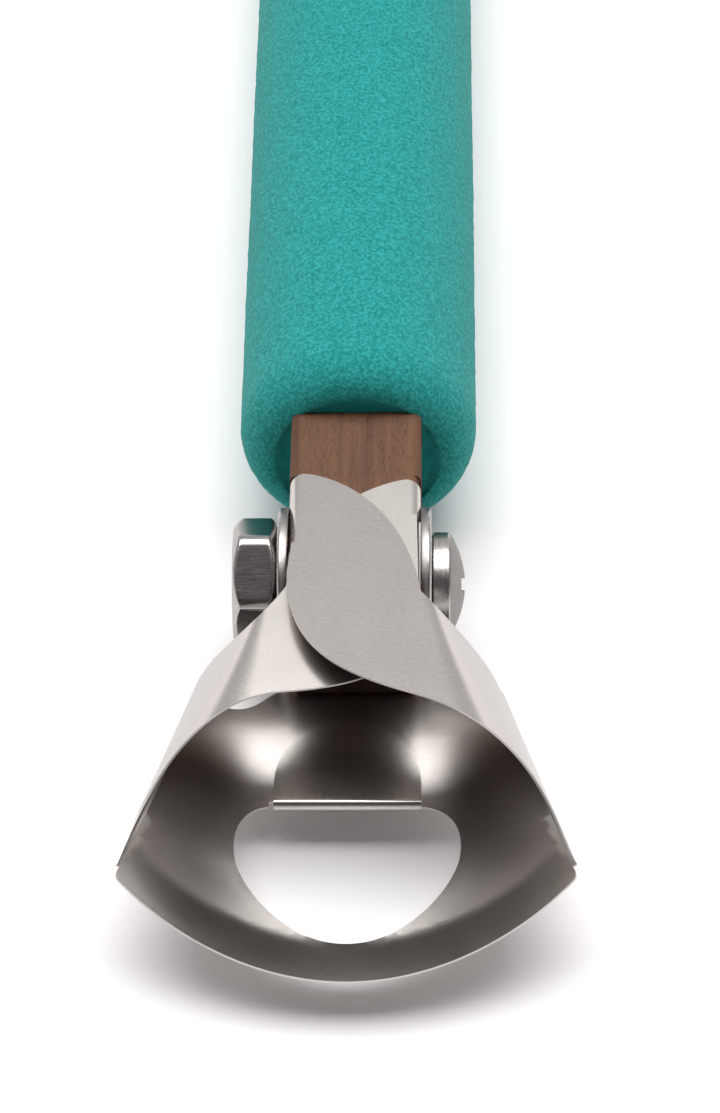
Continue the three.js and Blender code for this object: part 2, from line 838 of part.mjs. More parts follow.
for (const [name, head, y, turn] of [
  ["wide", wideHead, barFront + screwFromBarEnd, 0],
  ["narrow", narrowHead, barBack - screwFromBarEnd, Math.PI],
]) {
  const end = new THREE.Group();
  end.position.set(0, y, barAxisHeight);
  end.rotation.z = turn;
  tool.add(end);
  place(`${name}_head_blade`, headGeometry(head), "sheet", end);
  place(`${name}_head_screw`, screwGeometry(), "hardware", end);
  place(`${name}_head_screw_washer`, washerGeometry(1), "hardware", end);
  place(`${name}_head_nut_washer`, washerGeometry(-1), "hardware", end);
  place(`${name}_head_nut`, nutGeometry(), "hardware", end);
}

export default tool;
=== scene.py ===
"""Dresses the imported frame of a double-ended clay carving tool.

A square walnut bar runs through a foam tube. A head folded from thin stainless sheet is
clamped to each end of the bar by a pan head screw, two washers and a nut. Lengths in the
classes are millimetres and become metres where a mesh, light or camera is made. A head's own
axes start at its screw: X towards the screw's head, Y back along the bar, Z up.
"""

import logging
import math
from collections.abc import Callable, Mapping, Sequence
from dataclasses import dataclass
from enum import Enum
from typing import Any

import bmesh
import bpy
import numpy as np
from mathutils import Matrix, Vector, noise
from mathutils.geometry import delaunay_2d_cdt


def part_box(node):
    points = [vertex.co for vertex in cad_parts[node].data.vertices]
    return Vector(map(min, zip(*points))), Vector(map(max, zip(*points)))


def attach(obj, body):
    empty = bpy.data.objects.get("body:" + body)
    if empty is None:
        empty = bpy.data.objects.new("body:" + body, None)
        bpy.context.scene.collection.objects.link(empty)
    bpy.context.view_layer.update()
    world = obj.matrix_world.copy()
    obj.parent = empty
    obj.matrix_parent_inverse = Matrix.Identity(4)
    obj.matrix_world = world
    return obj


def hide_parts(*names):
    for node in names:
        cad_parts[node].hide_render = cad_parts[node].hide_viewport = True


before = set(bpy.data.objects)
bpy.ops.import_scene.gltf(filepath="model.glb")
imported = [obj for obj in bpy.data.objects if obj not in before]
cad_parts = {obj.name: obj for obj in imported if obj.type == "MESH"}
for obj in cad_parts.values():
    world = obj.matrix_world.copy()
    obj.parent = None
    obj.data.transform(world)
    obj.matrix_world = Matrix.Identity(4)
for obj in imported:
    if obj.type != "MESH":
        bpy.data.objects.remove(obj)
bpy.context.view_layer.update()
MM = 0.001
LOG = logging.getLogger("carving_tool")

# Along the photograph's line of sight: millimetres forward for each one up, and down for
# each one back. A point moved so keeps its place in the picture.
SIGHT_RUN = 0.965
SIGHT_DROP = 1.036

ARC_HANDLE = 0.5523  # a cubic curve's handle, as a share of the quarter circle's radius

Grid = list[list[Vector]]
Outline = list[Vector]


class Wire:
    """A socket that a shader node gives out, which takes part in ordinary arithmetic."""

    def __init__(self, bench: "ShaderBench", socket: bpy.types.NodeSocket | None) -> None:
        """Keeps the socket and the bench whose nodes it belongs to."""
        self.bench = bench
        self.socket = socket

    def _math(self, operation: str, *terms: "Wire | float") -> "Wire":
        """Adds one Math node.

        Args:
            operation: Blender's name of the operation.
            terms: Its inputs in order.

        Returns:
            The node's result.
        """
        inputs = dict(enumerate(terms))
        return self.bench.node("ShaderNodeMath", {"operation": operation}, inputs)

    def __add__(self, other: "Wire | float") -> "Wire":
        """Sum."""
        return self._math("ADD", self, other)

    def __radd__(self, other: float) -> "Wire":
        """Sum with a number on the left."""
        return self._math("ADD", other, self)

    def __sub__(self, other: "Wire | float") -> "Wire":
        """Difference."""
        return self._math("SUBTRACT", self, other)

    def __rsub__(self, other: float) -> "Wire":
        """Difference from a number on the left."""
        return self._math("SUBTRACT", other, self)

    def __mul__(self, other: "Wire | float") -> "Wire":
        """Product."""
        return self._math("MULTIPLY", self, other)

    def __rmul__(self, other: float) -> "Wire":
        """Product with a number on the left."""
        return self._math("MULTIPLY", other, self)

    def between(self, low: float, high: float) -> "Wire":
        """A smooth step.

        Args:
            low: Where the result is 0.
            high: Where the result is 1.

        Returns:
            The step's value.
        """
        settings = {"interpolation_type": "SMOOTHSTEP"}
        inputs = {"Value": self, "From Min": low, "From Max": high}
        return self.bench.node("ShaderNodeMapRange", settings, inputs)


class ShaderBench:
    """The workplace of one material, or of the room: makes its nodes and links them."""

    def __init__(self, owner: bpy.types.Material | bpy.types.World) -> None:
        """Starts a material or a world with no nodes.

        Args:
            owner: The material or world.
        """
        self.owner = owner
        owner.use_nodes = True
        self.tree = owner.node_tree
        self.tree.nodes.clear()

    def node(
        self,
        kind: str,
        settings: Mapping[str, Any] | None = None,
        inputs: Mapping[str | int, Any] | None = None,
        output: str | int = 0,
    ) -> Wire:
        """Adds a node.

        Args:
            kind: Blender's class name of the node.
            settings: Its properties, set first. "stops" gives a ramp's positions and colours.
            inputs: Values or wires by the name or number of the socket.
            output: The name or number of the socket that is given back.

        Returns:
            The chosen output, empty where the node has none.
        """
        made = self.tree.nodes.new(kind)
        for key, value in (settings or {}).items():
            if key == "stops":
                self.set_stops(made.color_ramp, value)
            else:
                setattr(made, key, value)
        for key, value in (inputs or {}).items():
            if isinstance(value, Wire):
                self.tree.links.new(value.socket, made.inputs[key])
            else:
                made.inputs[key].default_value = value
        return Wire(self, made.outputs[output] if len(made.outputs) else None)

    @staticmethod
    def set_stops(ramp: bpy.types.ColorRamp, stops: Sequence[tuple[float, Any]]) -> None:
        """Puts positions and colours into a ramp.

        Args:
            ramp: The ramp.
            stops: Pairs of a position and a colour.
        """
        while len(ramp.elements) < len(stops):
            ramp.elements.new(1.0)
        for element, (position, colour) in zip(ramp.elements, stops):
            element.position = position
            element.color = (*colour, 1.0)

    def place(self, stretch: tuple[float, float, float]) -> Wire:
        """The point on the piece, in millimetres, stretched along its axes.

        Args:
            stretch: Factors along X, Y and Z.

        Returns:
            The vector.
        """
        point = self.node("ShaderNodeTexCoord", output="Object")
        scale = tuple(factor / MM for factor in stretch)
        return self.node("ShaderNodeVectorMath", {"operation": "MULTIPLY"}, {0: point, 1: scale})

    def grain(self, at: Wire, scale: float, detail: float = 3.0, roughness: float = 0.5) -> Wire:
        """Noise between 0 and 1.

        Args:
            at: Where it is looked up.
            scale: Its frequency, per millimetre.
            detail: The number of finer layers.
            roughness: How strong the finer layers are.

        Returns:
            The noise.
        """
        inputs = {"Vector": at, "Scale": scale, "Detail": detail, "Roughness": roughness}
        return self.node("ShaderNodeTexNoise", {}, inputs)

    def mix(self, share: Wire | float, first: Any, second: Any) -> Wire:
        """A blend of two colours.

        Args:
            share: 0 for the first and 1 for the second.
            first: A colour or wire.
            second: A colour or wire.

        Returns:
            The blended colour.
        """
        tones = [(*c, 1.0) if isinstance(c, tuple) else c for c in (first, second)]
        inputs = {0: share, 6: tones[0], 7: tones[1]}
        return self.node("ShaderNodeMix", {"data_type": "RGBA"}, inputs, output=2)

    def relief(self, height: Wire, depth: float) -> Wire:
        """A bump.

        Args:
            height: The height, from 0 to 1.
            depth: The real depth of a height of 1, in millimetres.

        Returns:
            The bent normal.
        """
        return self.node("ShaderNodeBump", {}, {"Height": height, "Distance": depth * MM})

    def surface(self, **sockets: Any) -> bpy.types.Material:
        """Ends the material in one Principled surface.

        Args:
            sockets: Values or wires by socket name, with _ for a space.

        Returns:
            The finished material.
        """
        inputs = {key.replace("_", " "): value for key, value in sockets.items()}
        shader = self.node("ShaderNodeBsdfPrincipled", {}, inputs)
        self.node("ShaderNodeOutputMaterial", {}, {"Surface": shader})
        return self.owner


@dataclass(frozen=True)
class Walnut:
    """Sanded walnut with no varnish: fine streaks and short dark pores along the bar."""

    name: str = "walnut"
    light: tuple[float, float, float] = (0.16, 0.075, 0.038)
    dark: tuple[float, float, float] = (0.08, 0.034, 0.018)
    pore: tuple[float, float, float] = (0.045, 0.02, 0.012)
    roughness: float = 0.62
    streaks_per_mm: float = 1.6
    pore_depth: float = 0.03

    def material(self) -> bpy.types.Material:
        """Builds the walnut.

        Returns:
            Its material.
        """
        bench = ShaderBench(bpy.data.materials.new(self.name))
        along = bench.place((1.0, 0.06, 1.0))
        streak = bench.grain(along, self.streaks_per_mm, 5.0, 0.62)
        band = bench.grain(bench.place((1.0, 0.015, 1.0)), 0.45, 2.0)
        tone = (streak * 0.65 + band * 0.5).between(0.34, 0.8)
        flecks = bench.grain(bench.place((1.0, 0.14, 1.0)), 10.0, 2.0, 0.55)
        pores = flecks.between(0.58, 0.7)
        fibre = bench.grain(bench.place((1.0, 0.05, 1.0)), 9.0, 2.0)
        wood = bench.mix(tone, self.dark, self.light)
        wood = bench.mix(pores * 0.3, wood, self.pore)
        height = fibre * 0.35 + (1 - pores) * 0.65
        return bench.surface(
            Base_Color=wood,
            Roughness=self.roughness + streak * 0.18,
            Normal=bench.relief(height, self.pore_depth),
            Specular_IOR_Level=0.3,
        )


@dataclass(frozen=True)
class ClosedCellFoam:
    """Teal foam with a matt, finely pitted skin, its pits painted in a shaded tone and its raised cells
    in a lit one.
    """

    name: str = "foam"
    # lit is the tone of the raised cells as light falls on them; deep is painted shade for the pits
    # between them.
    lit: tuple[float, float, float] = (0.03, 0.345, 0.325)
    deep: tuple[float, float, float] = (0.005, 0.185, 0.17)
    speck: tuple[float, float, float] = (0.14, 0.58, 0.56)
    roughness: float = 0.92
    cells_per_mm: float = 3.8
    cell_depth: float = 0.15

    def material(self) -> bpy.types.Material:
        """Builds the foam.

        Returns:
            Its material.
        """
        bench = ShaderBench(bpy.data.materials.new(self.name))
        at = bench.place((1.0, 1.0, 1.0))
        cells = bench.grain(at, self.cells_per_mm, 3.0, 0.6)
        patch = bench.grain(at, 0.35, 3.0)
        fine = bench.grain(at, self.cells_per_mm * 2.2, 2.0, 0.6)
        # Painted light and shade: the low parts of the cell relief take the shaded tone and the raised
        # cells the lit one; the slow patches are the foam's own uneven tone.
        raised = cells.between(0.36, 0.66)
        body = bench.mix(raised * 0.8 + patch * 0.2, self.deep, self.lit)
        body = bench.mix(fine.between(0.60, 0.74) * 0.55, body, self.speck)
        return bench.surface(
            Base_Color=body,
            Roughness=self.roughness,
            Normal=bench.relief(cells * 0.7 + fine * 0.3, self.cell_depth),
            Specular_IOR_Level=0.15,
            Sheen_Weight=0.06,
            Sheen_Roughness=0.5,
        )


@dataclass(frozen=True)
class RolledSheet:
    """Thin stainless sheet with the faint grain that rolling leaves."""

    name: str = "rolled_stainless"
    tone: tuple[float, float, float] = (0.67, 0.63, 0.60)
    shade: tuple[float, float, float] = (0.58, 0.54, 0.51)
    roughness: float = 0.2
    grain_depth: float = 0.0003

    def material(self) -> bpy.types.Material:
        """Builds the sheet metal.

        Returns:
            Its material.
        """
        bench = ShaderBench(bpy.data.materials.new(self.name))
        rolled = bench.grain(bench.place((0.3, 1.0, 1.0)), 9.0, 4.0, 0.65)
        cloud = bench.grain(bench.place((1.0, 1.0, 1.0)), 0.3, 4.0)
        tint = bench.mix(rolled.between(0.3, 0.7) * 0.7 + cloud * 0.3, self.shade, self.tone)
        return bench.surface(
            Base_Color=tint,
            Metallic=1.0,
            Roughness=self.roughness + rolled * 0.03 + cloud * 0.04,
            Normal=bench.relief(rolled, self.grain_depth),
            Specular_Tint=(0.75, 0.75, 0.75, 1.0),
        )


@dataclass(frozen=True)
class ShearedEdge:
    """The rougher metal of the sheet's cut edges."""

    name: str = "sheared_stainless"
    tone: tuple[float, float, float] = (0.68, 0.65, 0.63)
    shade: tuple[float, float, float] = (0.55, 0.52, 0.50)
    roughness: float = 0.45

    def material(self) -> bpy.types.Material:
        """Builds the edge metal.

        Returns:
            Its material.
        """
        bench = ShaderBench(bpy.data.materials.new(self.name))
        torn = bench.grain(bench.place((1.0, 1.0, 1.0)), 8.0, 3.0, 0.6)
        return bench.surface(
            Base_Color=bench.mix(torn, self.tone, self.shade),
            Metallic=1.0,
            Roughness=self.roughness + torn * 0.1,
        )


@dataclass(frozen=True)
class TurnedSteel:
    """The stainless of the screws, nuts and washers, with drawing marks and small nicks."""

    name: str = "turned_stainless"
    tone: tuple[float, float, float] = (0.56, 0.53, 0.51)
    shade: tuple[float, float, float] = (0.44, 0.41, 0.39)
    roughness: float = 0.2
    marks: tuple[float, float, float] = (1.0, 0.12, 0.12)
    mark_depth: float = 0.0008
    dent_depth: float = 0.004

    def material(self) -> bpy.types.Material:
        """Builds the fastener steel.

        Returns:
            Its material.
        """
        bench = ShaderBench(bpy.data.materials.new(self.name))
        drawn = bench.grain(bench.place(self.marks), 11.0, 3.0, 0.6)
        nicks = bench.grain(bench.place((1.0, 1.0, 1.0)), 3.2, 4.0, 0.7)
        dents = bench.grain(bench.place((1.0, 1.0, 1.0)), 1.2, 2.0)
        height = drawn * self.mark_depth + dents * self.dent_depth
        tint = bench.mix(drawn.between(0.35, 0.65), self.shade, self.tone)
        return bench.surface(
            Base_Color=tint,
            Metallic=1.0,
            Roughness=self.roughness + drawn * 0.06 + nicks.between(0.5, 0.8) * 0.06,
            Normal=bench.relief(height, 1.0),
            Specular_Tint=(0.75, 0.75, 0.75, 1.0),
        )


@dataclass(frozen=True)
class PaperFloor:
    """The pale sheet that the tool lies on."""

    name: str = "pale_paper"
    tone: tuple[float, float, float] = (0.93, 0.91, 0.915)
    tooth: tuple[float, float, float] = (0.89, 0.87, 0.875)

    def material(self) -> bpy.types.Material:
        """Builds the paper.

        Returns:
            Its material.
        """
        bench = ShaderBench(bpy.data.materials.new(self.name))
        tooth = bench.grain(bench.place((1.0, 1.0, 1.0)), 1.5, 2.0)
        return bench.surface(
            Base_Color=bench.mix(tooth * 0.2, self.tone, self.tooth),
            Roughness=0.75,
            Specular_IOR_Level=0.2,
        )


END_GRAIN = Walnut(
    name="walnut_end_grain",
    light=(0.05, 0.022, 0.013),
    dark=(0.02, 0.009, 0.006),
    pore=(0.09, 0.03, 0.018),
)
# The cut ends: smoother, with the same painted shade in their pits.
CUT_FOAM = ClosedCellFoam(
    name="cut_foam",
    lit=(0.012, 0.26, 0.24),
    deep=(0.005, 0.19, 0.175),
    speck=(0.02, 0.30, 0.28),
    cell_depth=0.02,
)
STAMPED_EDGE = ShearedEdge(
    name="stamped_stainless", tone=(0.42, 0.39, 0.375), shade=(0.3, 0.28, 0.27), roughness=0.36
)
SCREW_STEEL = TurnedSteel(roughness=0.24, dent_depth=0.016)
# The crown's steel: a rougher finish, and a darker tone that is painted shade for the dim surroundings
# that the domed crown reflects.
SHADED_CROWN_STEEL = TurnedSteel(
    name="matt_crown_painted_shade",
    tone=(0.31, 0.29, 0.28),
    shade=(0.27, 0.25, 0.24),
    roughness=0.4,
    mark_depth=0.0002,
)
NUT_STEEL = TurnedSteel(
    name="drawn_stainless",
    tone=(0.52, 0.49, 0.475),
    shade=(0.38, 0.355, 0.345),
    roughness=0.15,
    marks=(0.07, 1.0, 1.0),
    mark_depth=0.0014,
    dent_depth=0.001,
)


def ease(t: float) -> float:
    """A smooth step of a number from 0 to 1."""
    return t * t * (3.0 - 2.0 * t)


def ramp(value: float, low: float, high: float) -> float:
    """A smooth step between two values.

    Args:
        value: The value.
        low: Where the result is 0.
        high: Where the result is 1.

    Returns:
        The step, from 0 to 1.
    """
    return ease(min(1.0, max(0.0, (value - low) / (high - low))))


def soft_least(a: float, b: float, width: float) -> float:
    """The lesser of two numbers, rounded off where they are nearly equal.

    Args:
        a: One number.
        b: The other.
        width: How far apart they are where the rounding starts.

    Returns:
        The rounded lesser number.
    """
    overlap = max(0.0, 1.0 - abs(a - b) / width)
    return min(a, b) - overlap * overlap * width / 4


def curve_at(points: Sequence[Vector], t: float) -> Vector:
    """One point of a cubic curve.

    Args:
        points: Its start, two handles and end.
        t: The share of its run.

    Returns:
        The point.
    """
    a, b, c, d = points
    s = 1.0 - t
    return a * s**3 + b * (3 * s * s * t) + c * (3 * s * t * t) + d * t**3


def curve(points: Sequence[Vector], count: int) -> list[Vector]:
    """Points along a cubic curve, one more than there are steps."""
    return [curve_at(points, i / count) for i in range(count + 1)]


def line(start: Vector, end: Vector, count: int) -> list[Vector]:
    """Points along a straight line, one more than there are steps."""
    return [start.lerp(end, i / count) for i in range(count + 1)]


def turns(count: int) -> list[float]:
    """Directions that share one turn evenly, in radians."""
    return [2 * math.pi * k / count for k in range(count)]


def ring(x: float, radius: float, angles: Sequence[float]) -> list[Vector]:
    """A ring of points about the X axis.

    Args:
        x: Its place along the axis.
        radius: Its radius.
        angles: The directions of its points.

    Returns:
        The points.
    """
    return [Vector((x, radius * math.cos(a), radius * math.sin(a))) for a in angles]


def joined(*runs: Sequence[Vector]) -> Outline:
    """Puts runs of points end to end.

    Args:
        runs: The runs, each of which starts where the last one ended.

    Returns:
        The closed outline with no point twice.
    """
    points: Outline = []
    for run in runs:
        for point in run:
            if not points or (point - points[-1]).length > 1e-5:
                points.append(point)
    if (points[0] - points[-1]).length < 1e-5:
        points.pop()
    return points


class Skin:
    """Points and faces of one piece, in millimetres, on the way to becoming an object."""

    def __init__(self) -> None:
        """Starts with nothing."""
        self.points: list[Vector] = []
        self.faces: list[tuple[int, ...]] = []

    def grid(self, rows: Grid, around: bool = False) -> None:
        """Adds a sheet of four-sided faces.

        Args:
            rows: Rows of equally many points.
            around: Whether each row closes on itself.
        """
        first = len(self.points)
        wide = len(rows[0])
        for row in rows:
            self.points.extend(row)
        for i in range(len(rows) - 1):
            for j in range(wide if around else wide - 1):
                a = first + i * wide + j
                b = first + i * wide + (j + 1) % wide
                self.faces.append((a, b, b + wide, a + wide))

    def fan(self, loop: Sequence[Vector]) -> None:
        """Closes a loop with one face.

        Args:
            loop: The loop's points in order.
        """
        first = len(self.points)
        self.points.extend(loop)
        self.faces.append(tuple(range(first, first + len(loop))))

    def tube(self, rows: Grid) -> None:
        """Adds a tube from closed rows, with a face on each end.

        Args:
            rows: Rows of equally many points.
        """
        self.grid(rows, around=True)
        self.fan(rows[0])
        self.fan(rows[-1])

    def patch(
        self,
        outline: Outline,
        holes: Sequence[Outline],
        spacing: float,
        lift: Callable[[float, float], Vector],
    ) -> None:
        """Fills a flat outline with even triangles and lifts them onto a surface.

        Args:
            outline: The points around it, in plan.
            holes: The points around each hole, in plan.
            spacing: The distance between the points inside.
            lift: Gives the place on the surface of a point in plan.
        """
        loops = [np.array([(p.x, p.y) for p in loop]) for loop in (outline, *holes)]
        inside = self._lattice(loops, spacing)
        plan = [Vector(p) for loop in loops for p in loop] + [Vector(p) for p in inside]
        edges = []
        start = 0
        for loop in loops:
            n = len(loop)
            edges.extend((start + i, start + (i + 1) % n) for i in range(n))
            start += n
        found, _, faces, *_ = delaunay_2d_cdt(plan, edges, [], 0, 1e-7)
        flat = np.array([(p.x, p.y) for p in found])
        middles = np.array([flat[list(face)].mean(axis=0) for face in faces])
        keep = inside_loops(middles, loops)
        first = len(self.points)
        self.points.extend(lift(x, y) for x, y in flat)
        for face, kept in zip(faces, keep):
            if kept:
                self.faces.append(tuple(first + i for i in face))

    @staticmethod
    def _lattice(loops: Sequence[np.ndarray], spacing: float) -> np.ndarray:
        """Evenly spaced points inside the first loop, outside the others and clear of all.

        Args:
            loops: The outline and its holes.
            spacing: The distance between the points.

        Returns:
            The points, one to a row.
        """
        low, high = loops[0].min(axis=0), loops[0].max(axis=0)
        rows = np.arange(low[1], high[1], spacing * math.sqrt(0.75))
        columns = np.arange(low[0], high[0], spacing)
        spots = np.array([(x + spacing / 2 * (k % 2), y) for k, y in enumerate(rows) for x in columns])
        spots = spots[inside_loops(spots, loops)]
        clear = np.full(len(spots), np.inf)
        for loop in loops:
            for a, b in zip(loop, np.roll(loop, -1, axis=0)):
                run = b - a
                t = np.clip(((spots - a) @ run) / max(run @ run, 1e-12), 0, 1)
                clear = np.minimum(clear, np.linalg.norm(spots - a - t[:, None] * run, axis=1))
        return spots[clear > spacing * 0.55]

    def build(self, name: str, place: Matrix, weld: float = 1e-4) -> bpy.types.Object:
        """Makes the object, with its points in the tool's own axes and in metres.

        Args:
            name: The piece's name.
            place: From this piece's axes to the tool's, in millimetres.
            weld: How near two points are joined, in millimetres.

        Returns:
            The object, at the origin.
        """
        shape = bmesh.new()
        made = [shape.verts.new(place @ p * MM) for p in self.points]
        for face in self.faces:
            if len(set(face)) == len(face):
                shape.faces.new([made[i] for i in face])
        bmesh.ops.remove_doubles(shape, verts=shape.verts, dist=weld * MM)
        bmesh.ops.dissolve_degenerate(shape, edges=shape.edges, dist=1e-9)
        bmesh.ops.recalc_face_normals(shape, faces=shape.faces)
        mesh = bpy.data.meshes.new(name)
        shape.to_mesh(mesh)
        shape.free()
        piece = bpy.data.objects.new(name, mesh)
        bpy.context.collection.objects.link(piece)
        return piece


def inside_loops(spots: np.ndarray, loops: Sequence[np.ndarray]) -> np.ndarray:
    """Which points lie inside the first loop and outside all the others.

    Args:
        spots: Points, one to a row.
        loops: The outline and its holes.

    Returns:
        True or False for each point.
    """
    odd = np.zeros(len(spots), bool)
    for loop in loops:
        for (ax, ay), (bx, by) in zip(loop, np.roll(loop, -1, axis=0)):
            if ay == by:
                continue
            crosses = (spots[:, 1] >= min(ay, by)) & (spots[:, 1] < max(ay, by))
            odd ^= crosses & (spots[:, 0] < ax + (spots[:, 1] - ay) * (bx - ax) / (by - ay))
    return odd


def bake_modifiers(piece: bpy.types.Object) -> None:
    """Turns what the piece's modifiers make into its plain mesh.

    Args:
        piece: The piece.
    """
    graph = bpy.context.evaluated_depsgraph_get()
    done = bpy.data.meshes.new_from_object(piece.evaluated_get(graph))
    piece.modifiers.clear()
    old = piece.data
    piece.data = done
    bpy.data.meshes.remove(old)


def settle(piece: bpy.types.Object, sharp_degrees: float) -> None:
    """Applies the piece's modifiers and shades it smooth up to its sharp edges.

    Args:
        piece: The piece.
        sharp_degrees: The least angle of an edge that stays sharp.
    """
    bake_modifiers(piece)
    piece.data.polygons.foreach_set("use_smooth", [True] * len(piece.data.polygons))
    piece.data.set_sharp_from_angle(angle=math.radians(sharp_degrees))


def cut(piece: bpy.types.Object, cutter: bpy.types.Object) -> None:
    """Takes one solid out of another and drops the cutter.

    Args:
        piece: The solid that stays.
        cutter: The solid that is taken out.
    """
    step = piece.modifiers.new("cut", "BOOLEAN")
    step.operation = "DIFFERENCE"
    step.solver = "EXACT"
    step.object = cutter
    bake_modifiers(piece)
    shape = cutter.data
    bpy.data.objects.remove(cutter)
    bpy.data.meshes.remove(shape)


def paint(
    piece: bpy.types.Object,
    finishes: Sequence[bpy.types.Material],
    chosen: Callable[[Vector], bool] | None = None,
) -> None:
    """Gives a piece its materials.

    Args:
        piece: The piece.
        finishes: Its one or two materials.
        chosen: Picks the faces of the second one by their middles, in millimetres.
    """
    piece.data.materials.clear()
    for finish in finishes:
        piece.data.materials.append(finish)
    if chosen is not None:
        for face in piece.data.polygons:
            face.material_index = int(chosen(face.center / MM))


def dress(piece: bpy.types.Object, body: str, node: str) -> bpy.types.Object:
    """Gives a piece its place in the frame.

    Args:
        piece: The piece, with its materials.
        body: The CAD body that it rides on.
        node: The CAD node that it stands for.

    Returns:
        The same piece.
    """
    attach(piece, body)
    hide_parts(node)
    LOG.info("%s: %d faces on %s", piece.name, len(piece.data.polygons), body)
    return piece


class End(Enum):
    """The two ends of the tool, by the names that the frame uses."""

    WIDE = "wide"
    NARROW = "narrow"

    def node(self, piece: str) -> str:
        """The CAD node of a piece of this end's head."""
        return f"{self.value}_head_{piece}"

    @property
    def sign(self) -> int:
        """1 where the head's X is the tool's X, and -1 where it is turned round."""
        return 1 if self is End.WIDE else -1

    def place(self) -> Matrix:
        """Finds the head in the frame, by its nut.

        Returns:
            From the head's own axes to the tool's, in millimetres.
        """
        low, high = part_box(self.node("nut"))
        middle = (Vector(low) + Vector(high)) / 2 / MM
        turn = 0.0 if self is End.WIDE else math.pi
        return Matrix.Translation((0.0, middle.y, middle.z)) @ Matrix.Rotation(turn, 4, "Z")


@dataclass
class Bar:
    """The walnut bar: square, with eased edges, pared sides and a hole near each end."""

    side: float = 9.525
    edge_radius: float = 0.6
    end_round: float = 0.3
    seat_depth: float = 0.22
    seat_reach: float = 6.3
    seat_step: float = 0.05
    hole_radius: float = 2.18
    hole_sides: int = 48
    corner_steps: int = 8
    end_steps: int = 4

    def section(self, half_width: float, inset: float) -> list[tuple[float, float]]:
        """The rounded outline across the bar.

        Args:
            half_width: Half its width in X.
            inset: How far the whole outline is drawn in, for the eased end.

        Returns:
            Points in X and Z.
        """
        wide = half_width - inset
        high = self.side / 2 - inset
        bend = self.edge_radius
        points = []
        for corner in range(4):
            sx = 1 if corner in (0, 3) else -1
            sz = 1 if corner in (0, 1) else -1
            for i in range(self.corner_steps + 1):
                a = math.pi / 2 * (corner + i / self.corner_steps)
                points.append(
                    (sx * (wide - bend) + bend * math.cos(a), sz * (high - bend) + bend * math.sin(a))
                )
        return points

    def build(
        self, ends: Sequence[Matrix], wood: bpy.types.Material, end_grain: bpy.types.Material
    ) -> bpy.types.Object:
        """Builds and dresses the bar.

        Args:
            ends: The two heads' places.
            wood: The material of its sides.
            end_grain: The material of its two ends.

        Returns:
            The bar.
        """
        low, high = (Vector(c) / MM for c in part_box("core_bar"))
        axis = (low.z + high.z) / 2
        screws = sorted(place.translation.y for place in ends)
        half = self.side / 2
        pared = half - self.seat_depth
        front: list[tuple[float, float, float]] = []
        for i in range(self.end_steps + 1):
            a = math.pi / 2 * i / self.end_steps
            inset = self.end_round * (1 - math.sin(a))
            front.append((low.y + self.end_round * (1 - math.cos(a)), pared, inset))
        seat_end = screws[0] + self.seat_reach
        front += [(seat_end, pared, 0.0), (seat_end + self.seat_step, half, 0.0)]
        centre = (low.y + high.y) / 2
        rows_at = front + [(2 * centre - y, w, inset) for y, w, inset in reversed(front)]
        skin = Skin()
        rows = [
            [Vector((x, y, axis + z)) for x, z in self.section(w, inset)] for y, w, inset in rows_at
        ]
        skin.tube(rows)
        bar = skin.build("walnut_bar", Matrix.Identity(4))
        for y in screws:
            drill = Skin()
            around = turns(self.hole_sides)
            drill.tube([ring(x, self.hole_radius, around) for x in (-self.side, self.side)])
            cut(bar, drill.build("drill", Matrix.Translation((0.0, y, axis))))
        settle(bar, 40.0)
        reach = (high.y - low.y) / 2 - self.end_round / 2
        paint(bar, (wood, end_grain), lambda p: abs(p.y - centre) > reach)
        return dress(bar, "handle", "core_bar")


